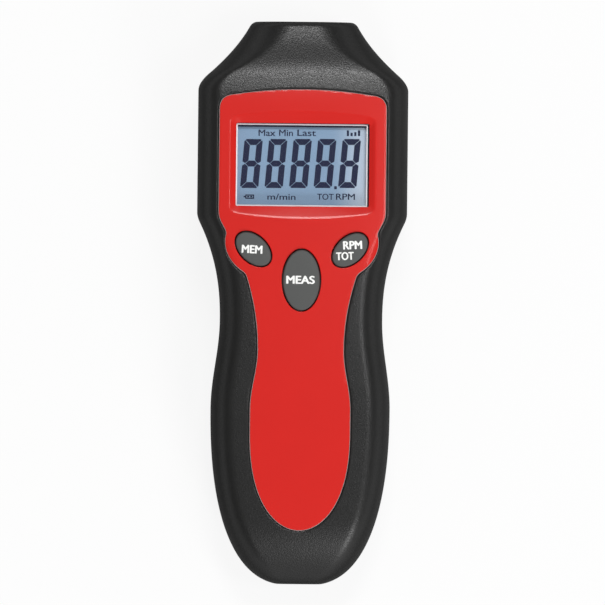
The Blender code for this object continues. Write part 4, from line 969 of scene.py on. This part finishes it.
def surface(
    name, color, roughness, mottle=0.06, grain=2600.0, relief=0.00001, uneven=0.05,
    edge_dulling=0.0, specular=0.5, metallic=0.0, alpha=1.0,
):
    """A moulded surface: clouded colour, uneven gloss and a fine grain, all in object space."""
    made = bpy.data.materials.new(name)
    made.use_nodes = True
    made.diffuse_color = (*color, 1.0)
    tree = made.node_tree
    at = ("Vector", node(tree, "TexCoord").outputs["Object"])
    cloud = node(tree, "TexNoise", [at, ("Scale", CLOUD_SCALE), ("Detail", CLOUD_DETAIL)])
    fine = node(tree, "TexNoise", [at, ("Scale", grain), ("Detail", GRAIN_DETAIL)]).outputs["Fac"]
    dark, light = [
        (*[min(1.0, channel * share) for channel in color], 1.0)
        for share in (1 - mottle, 1 + mottle)
    ]
    mixed = [("Factor", cloud.outputs["Fac"]), (MIX_A, dark), (MIX_B, light)]
    tint = node(tree, "Mix", mixed, data_type="RGBA").outputs[MIXED]
    gloss = node(tree, "MapRange", [
        ("Value", fine), ("From Min", GRAIN_RANGE[0]), ("From Max", GRAIN_RANGE[1]),
        ("To Min", roughness - uneven), ("To Max", roughness + uneven),
    ]).outputs["Result"]
    if edge_dulling:
        gloss = duller_at_grazing(tree, gloss, edge_dulling)
    bump = node(tree, "Bump", [("Distance", relief), ("Height", fine)]).outputs["Normal"]
    feed(tree, tree.nodes["Principled BSDF"], [
        ("Base Color", tint), ("Roughness", gloss), ("Normal", bump),
        ("Specular IOR Level", specular), ("Metallic", metallic), ("Alpha", alpha),
    ])
    return made


def duller_at_grazing(tree, roughness, dulling):
    """A soft-touch coat's gloss: it stays dull where plain plastic would mirror at its edges."""
    facing = node(tree, "LayerWeight").outputs["Facing"]
    return maths(tree, "MULTIPLY_ADD", maths(tree, "POWER", facing, EDGE_SHARPNESS), dulling, roughness)


def painted_light_across(made):
    """Painted light on the display's ground: it turns pale towards its right end, as if lit from that
    side.
    """
    tree = made.node_tree
    shader = tree.nodes["Principled BSDF"]
    ground = shader.inputs["Base Color"].links[0].from_socket
    at = tree.nodes["Texture Coordinate"].outputs["Object"]
    right = node(tree, "SeparateXYZ", [("Vector", at)]).outputs["X"]
    fall = node(tree, "MapRange", [
        ("Value", right), ("From Min", PAINTED_LIGHT_START * OPENING_HALF[0]),
        ("From Max", OPENING_HALF[0]), ("To Max", PAINTED_LIGHT_SHARE),
    ], interpolation_type="SMOOTHSTEP").outputs["Result"]
    mixed = [("Factor", fall), (MIX_A, ground), (MIX_B, PAINTED_LIGHT_COLOR)]
    ground_with_painted_light = node(tree, "Mix", mixed, data_type="RGBA").outputs[MIXED]
    feed(tree, shader, [("Base Color", ground_with_painted_light)])
    return made


LOOKS = {
    "soft_black": surface(
        "soft_touch_black", (0.0065, 0.0065, 0.0063), 0.34, 0.24, 2500.0, 0.00006, 0.08, 1.9, 0.43,
    ),
    "panel_red": surface(
        "satin_red", (0.605, 0.016, 0.012), 0.24, 0.03, 3500.0, 0.000005, 0.03, specular=0.25,
    ),
    "key_grey": surface(
        "grey_rubber", (0.077, 0.079, 0.077), 0.62, 0.06, 3000.0, 0.00002, 0.06, specular=0.35,
    ),
    "clear_plastic": surface(
        "clear_window", (0.10, 0.11, 0.12), 0.06, 0.02, 900.0, 0.000001, 0.02, alpha=0.06,
        specular=0.4,
    ),
    # The display's ground carries painted light, paler towards its right end.
    "lcd": painted_light_across(surface("lcd_ground", (0.235, 0.37, 0.545), 0.32, 0.04, 4000.0, 0.000003)),
    "white_plastic": surface("white_print", (0.86, 0.86, 0.84), 0.45, 0.04, 3500.0, 0.000006),
    "dark_plastic": surface("dark_plastic", (0.022, 0.022, 0.024), 0.42, 0.15, 1800.0, 0.00002),
    "board_green": surface("board_green", (0.018, 0.13, 0.045), 0.36, 0.12, 1500.0),
    "screw_steel": surface(
        "screw_steel", (0.56, 0.56, 0.57), 0.30, 0.08, 2400.0, 0.000008, 0.08, metallic=1.0,
    ),
    "brass": surface(
        "brass", (0.72, 0.50, 0.20), 0.28, 0.08, 2400.0, 0.000008, 0.08, metallic=1.0,
    ),
    "lead_red": surface("lead_red", (0.55, 0.025, 0.02), 0.42, 0.05),
    "foam": surface("foam", (0.05, 0.05, 0.055), 0.92, 0.2, 1400.0, 0.00015),
    "battery_case": surface(
        "battery_case", (0.20, 0.22, 0.26), 0.34, 0.06, 2000.0, 0.00001, 0.06, metallic=0.6,
    ),
}

# Mottle, grain and relief of what is printed, also used for the painted highlight and painted shade
# lines
PRINT = (0.05, 4000.0, 0.000003)
LCD_INK = surface("lcd_ink", (0.009, 0.013, 0.050), 0.40, *PRINT, specular=0.1)
# Painted highlight for the pale line at the display window's edge
PAINTED_HIGHLIGHT_LINE = surface("painted_highlight_frame_line", (0.80, 0.82, 0.86), 0.40, *PRINT)
# Painted highlight for the bead along the panel's edge
PAINTED_EDGE_HIGHLIGHT = surface("painted_highlight_panel_rim", (0.26, 0.225, 0.22), 0.45, *PRINT)
# Painted shade for the dark lines beside it, where the frame would cast shade
PAINTED_SHADE_LINE = surface("painted_shade_frame_line", (0.012, 0.014, 0.028), 0.50, *PRINT, specular=0.1)


def settle(piece):
    """Applies a piece's cuts, marks the sharp edges they left and keeps its flat areas flat."""
    settled = evaluated(piece)
    settled.name = piece.name
    settled.shade_smooth()
    settled.set_sharp_from_angle(angle=SMOOTH_ANGLE)
    piece.modifiers.clear()
    piece.data = settled
    piece.modifiers.new("even_shading", "WEIGHTED_NORMAL").keep_sharp = True


def evaluated(piece):
    """A new mesh of a piece or a curve with its modifiers applied."""
    graph = bpy.context.evaluated_depsgraph_get()
    return bpy.data.meshes.new_from_object(piece.evaluated_get(graph))


def dress(piece, body, slot, *nodes, look=None):
    """Finishes a piece: its material, the body it rides on and the solids it stands for."""
    piece.data.materials.clear()
    piece.data.materials.append(look or LOOKS[slot])
    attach(piece, body)
    if nodes:
        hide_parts(*nodes)


def stand_in(piece, body, slot, solid):
    """Finishes a piece that takes the place of one solid."""
    settle(piece)
    dress(piece, body, slot, solid)


def front_structure(hollow):
    """Leaves the screw bosses and board posts standing in the front's hollow."""
    for x, station in HOUSING_SCREWS:
        cut(hollow, rod(FRONT_BOSS_RADIUS, x, station, 0.0, HEAD_DEPTH))
    for x, station in BOARD_SCREWS:
        cut(hollow, rod(BOARD_POST_RADIUS, x, station, BOARD_TOP + FIT, HEAD_DEPTH))


def display_block(half, corner, low, high, grow=0.0, steps=4):
    """A block with round corners around the display's middle, from one height to another."""
    outline = rounded_rectangle(half, corner, grow, steps, DISPLAY_STATION)
    return prism(outline, low, high)


def front_shell(outline):
    """The upper half of the housing, with a recess for the panel and a soft lip around it."""
    shell = housing_solid(front_profile, PARTING_HEIGHT + FIT / 2, "front_shell_skin")
    hollow = cavity_solid(front_profile, PARTING_HEIGHT - HOLLOW_OVERLAP, ROOF_WALL)
    front_structure(hollow)
    pocket = face_slab(OVERCUT, -PANEL_THICKNESS - FIT)
    keep_inside(pocket, prism(grown(outline, PANEL_GAP), 0.0, ABOVE_HEAD))
    cut(shell, hollow, pocket, rim_cutter(outline, PANEL_GAP, 1, LIP_ROUND))
    cut(shell, display_block(SURROUND_HALF, SURROUND_HOLE_CORNER, LCD_BOTTOM, ABOVE_HEAD, FIT))
    for key in KEYS.values():
        cut(shell, prism(oval(key, KEY_GAP + FIT, 48), BOARD_TOP, ABOVE_HEAD))
    cut(shell, *port_cutters())
    return shell


def port_cutters():
    """The optical port through the nose: recess, window groove and opening."""
    recess = NOSE - PORT_RECESS
    groove = recess - NOSE_WINDOW_GROOVE
    return [
        port_block(0.0, recess, NOSE + OVERCUT),
        port_block(NOSE_WINDOW_OVERLAP + FIT, groove, recess),
        port_block(0.0, NOSE - NOSE_WALL - OVERCUT, groove + FIT),
    ]


def port_block(grow, start, end):
    """A rounded block on the port's axis between two stations."""
    outline = rounded_rectangle(PORT_HALF, PORT_CORNER, grow, middle=PORT_HEIGHT)
    return loft([[place(x, station, z) for x, z in outline] for station in (start, end)])


def rear_structure(hollow):
    """Leaves the battery compartment, door rails, bosses and optics seat in the rear's hollow."""
    wall = COMPARTMENT_WALL
    start, end = COMPARTMENT_START - wall, COMPARTMENT_END + wall
    cut(hollow, block(COMPARTMENT_HALF + wall, start, end, -OVERCUT, HEAD_DEPTH))
    rail_top = DOOR_THICKNESS + FIT + wall
    cut(hollow, block(RAIL_HALF + FIT + wall, 0.0, DOOR_END + 2 * wall, -OVERCUT, rail_top))
    for x, station in HOUSING_SCREWS:
        cut(hollow, rod(REAR_BOSS_RADIUS, x, station, -OVERCUT, PARTING_HEIGHT + OVERCUT, 24))
    cut(hollow, block(SEAT_HALF, SEAT_START, NOSE, 0.0, SEAT_TOP))


def rear_shell():
    """The lower half of the housing, with the battery compartment and the door's path."""
    wall = COMPARTMENT_WALL
    start, end = COMPARTMENT_START, COMPARTMENT_END
    shell = housing_solid(back_profile, PARTING_HEIGHT - FIT / 2, "rear_shell_skin")
    hollow = cavity_solid(back_profile, PARTING_HEIGHT + HOLLOW_OVERLAP, FLOOR_WALL)
    rear_structure(hollow)
    cut(shell, hollow)
    low, high = PARTING_HEIGHT - OVERCUT - wall, COMPARTMENT_TOP + wall
    upper = block(COMPARTMENT_HALF + wall, start - wall, end + wall, low, high)
    round_edges(upper, COMPARTMENT_ROUND)
    join(shell, upper)
    cut(shell, block(COMPARTMENT_HALF, start, end, -OVERCUT, COMPARTMENT_TOP))
    cut(shell, block(LEAD_SPACING, end - OVERCUT, end + 2 * wall, LEAD_HEIGHT, high + wall))
    top = DOOR_THICKNESS + FIT
    path = rounded_rectangle((DOOR_HALF, DOOR_END - FIT), DOOR_CORNER, FIT, 12, FIT)
    cut(shell, prism(path, -OVERCUT, top))
    tongue_end = DOOR_END - DOOR_CORNER + FIT
    cut(shell, block(RAIL_HALF + FIT, -OVERCUT, tongue_end, DOOR_LIP - FIT, top))
    for x, station in HOUSING_SCREWS:
        cut(shell, rod(SCREW_HEAD + FIT, x, station, -OVERCUT, SCREW_DEPTH + FIT, 40))
    cut(shell, *port_cutters())
    return shell


def front_panel(outline):
    """The red panel: soft edges, the dish and opening for the display, and the key openings."""
    panel = face_slab(0.0, -PANEL_THICKNESS, "front_panel_skin")
    keep_inside(panel, prism(outline, 0.0, ABOVE_HEAD))
    top = HEAD_DEPTH - PANEL_THICKNESS + SURROUND_OVERLAP
    join(panel, display_block(SURROUND_HALF, SURROUND_CORNER, WINDOW_BOTTOM, top))
    cut(panel, dish_cutter(), rim_cutter(outline, 0.0, -1, PANEL_ROUND))
    low = LCD_TOP - OVERCUT
    cut(panel, display_block(OPENING_HALF, OPENING_CORNER, low, ABOVE_HEAD))
    cut(panel, display_block(WINDOW_HALF, WINDOW_CORNER, low, WINDOW_TOP + FIT, FIT, 2))
    for key in KEYS.values():
        hole = oval(key, KEY_GAP)
        cut(panel, prism(hole, BOARD_TOP, ABOVE_HEAD), rim_cutter(hole, 0.0, 1, HOLE_ROUND, 5))
    return panel


def key_piece(name, key):
    """One key: a crowned oval cap with a soft edge, its flange and its stem."""
    x, station, across, along, slant = key
    flange_top = min(roof_height(*point) for point in oval(key, KEY_FLANGE, 20)) - FIT
    flange_bottom = flange_top - KEY_FLANGE_THICKNESS
    stem = (x, station, STEM_RADIUS, STEM_RADIUS, slant)
    rings = raised(oval(stem), STEM_BOTTOM, flange_bottom)
    rings += raised(oval(key, KEY_FLANGE), flange_bottom, flange_top)
    rings.append([place(u, v, flange_top) for u, v in oval(key)])
    steps = [
        (KEY_EDGE * (1 - cosine), KEY_RISE - KEY_EDGE * (1 - sine))
        for sine, cosine in quarter_turn(8)
    ]
    for share in CROWN_SHARES:
        steps.append((min(across, along) * share, KEY_RISE + KEY_CROWN * (1 - (1 - share) ** 2)))
    for inset, rise in steps:
        rings.append([place(u, v, front_height(u, v) + rise) for u, v in oval(key, -inset)])
    return loft(rings, f"key_{name}_cap")


def flat_words(text, weight):
    """Words as a thin solid, made bolder by joining copies moved by a share of their size."""
    curve = bpy.data.curves.new("words", "FONT")
    curve.body = text
    curve.extrude = LETTER_DEPTH
    curve.resolution_u = LETTER_STEPS
    shape = bmesh.new()
    shape.from_mesh(evaluated(link(curve)))
    bmesh.ops.remove_doubles(shape, verts=shape.verts, dist=MERGE)
    plain = finish_mesh(shape)
    words = link(plain.data.copy())
    for move in ((-weight, 0), (weight, 0), (0, -weight / 2), (0, weight / 2)):
        copy = link(plain.data.copy())
        copy.data.transform(Matrix.Translation((*move, 0.0)))
        join(words, copy)
    return evaluated(words)


def lettering(name, text, area, surface_of, body, slot, look, weight, rise, turn=0.0):
    """Printed words that fill an area of the photo, laid on a surface."""
    left, top, right, bottom = area
    size = ((right - left) * PHOTO_SCALE, (bottom - top) * PHOTO_SCALE)
    center = from_photo((left + right) / 2, (top + bottom) / 2)
    data = flat_words(text, weight)
    lows = [min(v.co[axis] for v in data.vertices) for axis in range(2)]
    highs = [max(v.co[axis] for v in data.vertices) for axis in range(2)]
    cosine, sine = math.cos(math.radians(turn)), math.sin(math.radians(turn))
    for vertex in data.vertices:
        u, v = [
            ((vertex.co[axis] - lows[axis]) / (highs[axis] - lows[axis]) - 0.5) * size[axis]
            for axis in range(2)
        ]
        x = center[0] + u * cosine - v * sine
        station = center[1] + u * sine + v * cosine
        lift = rise if vertex.co.z > 0 else -rise
        vertex.co = place(x, station, surface_of(x, station) + lift)
    data.name = name
    data.shade_flat()
    dress(link(data, name), body, slot, look=look)


def plates(name, outlines, height, thickness, look, slot="lcd"):
    """Thin flat plates of several outlines in (x, station), as one piece."""
    shape = bmesh.new()
    for outline in outlines:
        tube(shape, raised(outline, height, height + thickness))
    dress(finish_mesh(shape, name), "housing", slot, look=look)


def painted_window_edge_light():
    """Painted light at the window's edge: a painted highlight line all round, and painted shade where
    the frame would shade it.
    """
    half_x, half_y = OPENING_HALF[0] - EDGING_ROOM, OPENING_HALF[1] - EDGING_ROOM
    left, right = -half_x, half_x - SIDE_SHADE
    low, high = DISPLAY_STATION - half_y, DISPLAY_STATION + half_y - PALE_WIDTH / 2
    pale = rectangular_frame(left, low, right - left, high - low, PALE_WIDTH)
    shade_low = high - PALE_WIDTH - TOP_SHADE
    # Painted shade: a dark line above the top edge, a band down the right side and one under the top
    # line
    dark = [
        rectangle(left, high, 2 * half_x, PALE_WIDTH / 2),
        rectangle(right, low, SIDE_SHADE, high - low),
        rectangle(left + PALE_WIDTH, shade_low, right - left - 2 * PALE_WIDTH, TOP_SHADE),
    ]
    level = WINDOW_TOP + EDGING_ROOM
    plates("display_painted_highlight", pale, level, PRINT_RISE * 2, PAINTED_HIGHLIGHT_LINE, "white_plastic")
    plates("display_painted_shade", dark, level, PRINT_RISE * 2, PAINTED_SHADE_LINE)


def from_photo(column, row):
    """(x, station) on the object of a place in the photo."""
    top_x, top_y, low_x, low_y = PHOTO_AXIS
    axis = top_x + (low_x - top_x) * (row - top_y) / (low_y - top_y)
    lean = (top_x - low_x) / (low_y - top_y)
    x = (column - axis) * PHOTO_SCALE
    return x, (PHOTO_TAIL_ROW - row) * PHOTO_SCALE + lean * x


def segments(left, base):
    """The seven leaning segments of a figure eight, from its lower left corner."""
    width, height = DIGIT_SIZE
    thick, gap = SEGMENT_WIDTH, SEGMENT_GAP
    middle, half, corner = height / 2, thick / 2, thick / 3
    cap = [
        (corner / 2 + gap, corner / 2), (corner, 0), (width - corner, 0),
        (width - corner / 2 - gap, corner / 2), (width - thick - gap, thick), (thick + gap, thick),
    ]
    bar = [
        (half + gap, middle), (thick + gap, middle - half), (width - thick - gap, middle - half),
        (width - half - gap, middle), (width - thick - gap, middle + half),
        (thick + gap, middle + half),
    ]
    side = [
        (0, height - corner), (0, middle + corner), (half, middle + gap),
        (thick, middle + half + gap), (thick, height - thick - gap),
        (corner / 2, height - corner / 2 - gap),
    ]
    shapes = [cap, [(x, height - y) for x, y in cap], bar]
    for flip_x in (False, True):
        for flip_y in (False, True):
            shapes.append([
                (width - x if flip_x else x, height - y if flip_y else y) for x, y in side
            ])
    lean = math.tan(DIGIT_SLANT)
    return [[(left + x + y * lean, base + y) for x, y in shape] for shape in shapes]


def rectangle(x, station, width, height):
    top = station + height
    return [(x, station), (x + width, station), (x + width, top), (x, top)]


def rectangular_frame(x, station, width, height, line):
    """The four sides of a rectangle, drawn inside it with a line of one width."""
    return [
        rectangle(x, station, width, line),
        rectangle(x, station + height - line, width, line),
        rectangle(x, station + line, line, height - 2 * line),
        rectangle(x + width - line, station + line, line, height - 2 * line),
    ]


def display_picture():
    """What the display shows: five figure eights, small words and two icons."""
    eights = []
    for digit in range(DIGITS):
        eights += segments(*from_photo(DIGIT_PLACE[0] + DIGIT_PITCH * digit, DIGIT_PLACE[1]))
    eights.append(rectangle(*from_photo(*POINT_PLACE), *POINT_SIZE))
    plates("display_digits", eights, LCD_TOP + INK_BASE, INK_RISE, LCD_INK)
    for name, text, area in DISPLAY_WORDS:
        lettering(
            name, text, area, lambda x, station: LCD_TOP, "housing", "lcd", LCD_INK, WORD_WEIGHT,
            INK_RISE,
        )
    bars = []
    for index, height in enumerate(BAR_HEIGHTS):
        corner = from_photo(BAR_PLACE[0] + BAR_PITCH * index, BAR_PLACE[1])
        bars.append(rectangle(*corner, BAR_WIDTH, height))
    plates("display_signal", bars, LCD_TOP + INK_BASE, INK_RISE, LCD_INK)
    x, station = from_photo(*BATTERY_PLACE)
    battery = rectangular_frame(x, station, *BATTERY_SIZE, BATTERY_LINE)
    low = station + (BATTERY_SIZE[1] - BATTERY_BAR_HEIGHT) / 2
    for start, width in BATTERY_BARS:
        battery.append(rectangle(x + start, low, width, BATTERY_BAR_HEIGHT))
    plates("display_battery", battery, LCD_TOP + INK_BASE, INK_RISE, LCD_INK)


def top_of(piece):
    """Height of a piece's upper surface at a place, straight down onto its mesh."""
    data = piece.data
    tree = BVHTree.FromPolygons(
        [vertex.co.copy() for vertex in data.vertices],
        [list(face.vertices) for face in data.polygons],
    )

    def height(x, station):
        start = place(x, station, 2 * HEAD_DEPTH)
        return tree.ray_cast(start, Vector((0.0, 0.0, -1.0)))[0].z

    return height


def screw(name, x, station):
    """A pan-head screw pointing up, with a cross recess in its head."""
    bottom = SCREW_DEPTH - SCREW_HEAD_HEIGHT
    top = SCREW_HEAD_HEIGHT + SCREW_LENGTH
    made = turned(name, [
        (0.0, top),
        (SCREW_TIP, top),
        (SCREW_RADIUS, top - SCREW_RADIUS),
        (SCREW_RADIUS, SCREW_HEAD_HEIGHT),
        (SCREW_HEAD, SCREW_HEAD_HEIGHT),
        (SCREW_FACE, 0.0),
        (0.0, 0.0),
    ], (x, station, bottom))
    for half_x, half_y in ((CROSS_ARM, CROSS_SLOT), (CROSS_SLOT, CROSS_ARM)):
        start, end = station - half_y, station + half_y
        cut(made, block(half_x, start, end, bottom - OVERCUT, bottom + CROSS_DEPTH, x))
    return made


def dome(radius, height, rim, steps):
    """A lens's profile: a domed top, a straight rim and a flat base."""
    points = [
        (radius * sine, rim + (height - rim) * cosine) for sine, cosine in quarter_turn(steps)
    ]
    if rim:
        points.append((radius, 0.0))
    return points + [(0.0, 0.0)]


def battery_door():
    """A flush plate with side tongues in the shell's grooves, and ridges for the thumb."""
    half = (DOOR_HALF, (DOOR_END - DOOR_START) / 2)
    plate = rounded_rectangle(half, DOOR_CORNER, 0.0, 12, (DOOR_END + DOOR_START) / 2)
    door = prism(plate, -OVERCUT, DOOR_THICKNESS, "battery_door_skin")
    start, end = DOOR_START + DOOR_CORNER, DOOR_END - DOOR_CORNER
    join(door, block(RAIL_HALF, start, end, DOOR_LIP, DOOR_THICKNESS))
    keep_inside(door, housing_solid(back_profile, PARTING_HEIGHT))
    for step in range(GROOVES):
        station = GROOVE_START + GROOVE_PITCH * step
        reach = GROOVE_REACH - GROOVE_TAPER * abs(step - (GROOVES - 1) / 2)
        cut(door, block(reach, station, station + GROOVE_WIDTH, -OVERCUT, GROOVE_DEPTH))
    return door


def optics():
    """The turned pieces behind the nose window, finer than their solids."""
    barrel = [
        (0.0, LASER_MOUTH), (LASER_MOUTH_RADIUS, LASER_MOUTH), (LASER_MOUTH_RADIUS, LASER_LENGTH),
        (LASER_RADIUS, LASER_LENGTH), (LASER_RADIUS, 0.0), (0.0, 0.0),
    ]
    lens = dome(LASER_LENS_RADIUS, LASER_LENS_HEIGHT, 0.0, 10)
    receiver = dome(RECEIVER_RADIUS, RECEIVER_HEIGHT, RECEIVER_RIM, 12)
    for solid, profile, x, station, slot in (
        ("laser_barrel", barrel, LASER_OFFSET, LASER_START, "brass"),
        ("laser_lens", lens, LASER_OFFSET, LASER_START + LASER_MOUTH + FIT, "clear_plastic"),
        ("receiver_lens", receiver, RECEIVER_OFFSET, RECEIVER_START, "clear_plastic"),
    ):
        piece = turned(f"{solid}_skin", profile, (x, station, PORT_HEIGHT), "Y", 64)
        stand_in(piece, "housing", slot, solid)


def staged(name, data, location):
    """Puts the camera, a lamp or the floor in the scene."""
    made = bpy.data.objects.new(name, data)
    bpy.context.scene.collection.objects.link(made)
    made.location = location
    return made


def camera():
    data = bpy.data.cameras.new("photo_camera")
    data.sensor_width = SENSOR_WIDTH
    data.lens = SENSOR_WIDTH * CAMERA_DISTANCE / FRAME_WIDTH
    data.clip_end = CAMERA_REACH
    made = staged("photo_camera", data, (*CAMERA_OFFSET, HEAD_DEPTH + CAMERA_DISTANCE))
    made.rotation_euler = (0.0, 0.0, CAMERA_TURN)
    bpy.context.scene.camera = made


def lamp(name, location, size, power):
    data = bpy.data.lights.new(name, "AREA")
    data.shape = "RECTANGLE"
    data.size, data.size_y = size
    data.energy = power
    made = staged(name, data, location)
    made.rotation_euler = (Vector(LAMP_AIM) - Vector(location)).to_track_quat("-Z", "Y").to_euler()
    made.visible_camera = False


def world():
    """A pale world that darkens overhead."""
    made = bpy.data.worlds.new("studio")
    bpy.context.scene.world = made
    made.use_nodes = True
    tree = made.node_tree
    toward = node(tree, "TexCoord").outputs["Generated"]
    up = node(tree, "SeparateXYZ", [("Vector", toward)]).outputs["Z"]
    ramp = node(tree, "ValToRGB", [("Fac", up)])
    for stop, (height, grey) in zip(ramp.color_ramp.elements, WORLD_STOPS):
        stop.position = height
        stop.color = (grey, grey, grey, 1.0)
    feed(tree, tree.nodes["Background"], [("Color", ramp.outputs["Color"])])


def floor():
    """A floor that keeps a shadow and looks white to the camera and in the pieces' gloss."""
    shape = bmesh.new()
    bmesh.ops.create_grid(shape, x_segments=1, y_segments=1, size=FLOOR_HALF)
    data = bpy.data.meshes.new("floor")
    shape.to_mesh(data)
    shape.free()
    white = bpy.data.materials.new("floor_white")
    white.use_nodes = True
    tree = white.node_tree
    shader = tree.nodes["Principled BSDF"]
    grey = (FLOOR_GREY, FLOOR_GREY, FLOOR_GREY, 1.0)
    feed(tree, shader, [("Base Color", grey), ("Roughness", 1.0)])
    path = node(tree, "LightPath").outputs
    seen = maths(tree, "MAXIMUM", path["Is Camera Ray"], path["Is Glossy Ray"])
    seen = maths(tree, "MAXIMUM", seen, path["Is Transmission Ray"])
    mix = node(tree, "MixShader", [
        ("Fac", maths(tree, "MULTIPLY", seen, FLOOR_WHITE_SHARE)),
        (1, shader.outputs["BSDF"]), (2, node(tree, "Emission").outputs["Emission"]),
    ])
    feed(tree, tree.nodes["Material Output"], [("Surface", mix.outputs["Shader"])])
    data.materials.append(white)
    staged("floor", data, (0.0, 0.0, -FLOOR_GAP))


def carried_over():
    """Gives each solid that still shows the finish of its slot in the record."""
    slots = {entry["node"]: entry["material_slot"] for entry in frame["record"]["subparts"]}
    for node, item in frame["nodes"].items():
        item.data.materials.clear()
        item.data.materials.append(LOOKS[slots[node]])


def build():
    camera()
    for settings in LAMPS:
        lamp(*settings)
    world()
    floor()
    outline = panel_outline()
    stand_in(front_shell(outline), "housing", "soft_black", "front_shell")
    stand_in(rear_shell(), "housing", "soft_black", "rear_shell")
    stand_in(front_panel(outline), "housing", "panel_red", "front_panel")
    panel_edge_highlight(outline)
    tops = {}
    for name, key in KEYS.items():
        cap = key_piece(name, key)
        stand_in(cap, f"{name}_button", "key_grey", f"key_{name}")
        tops[name] = top_of(cap)
    for name, text, area, key, turn in LEGENDS:
        lettering(
            name, text, area, tops[key], f"{key}_button", "white_plastic", LOOKS["white_plastic"],
            LEGEND_WEIGHT, PRINT_RISE, turn,
        )
    display_picture()
    painted_window_edge_light()
    stand_in(battery_door(), "door", "soft_black", "battery_door")
    optics()
    for index, spot in enumerate(HOUSING_SCREWS, 1):
        solid = f"housing_screw_{index}"
        stand_in(screw(f"{solid}_skin", *spot), "housing", "screw_steel", solid)
    for item in list(CUTTERS.objects):
        bpy.data.objects.remove(item, do_unlink=True)
    bpy.data.collections.remove(CUTTERS)
    carried_over()


build()
bpy.context.scene.view_settings.view_transform = "Standard"
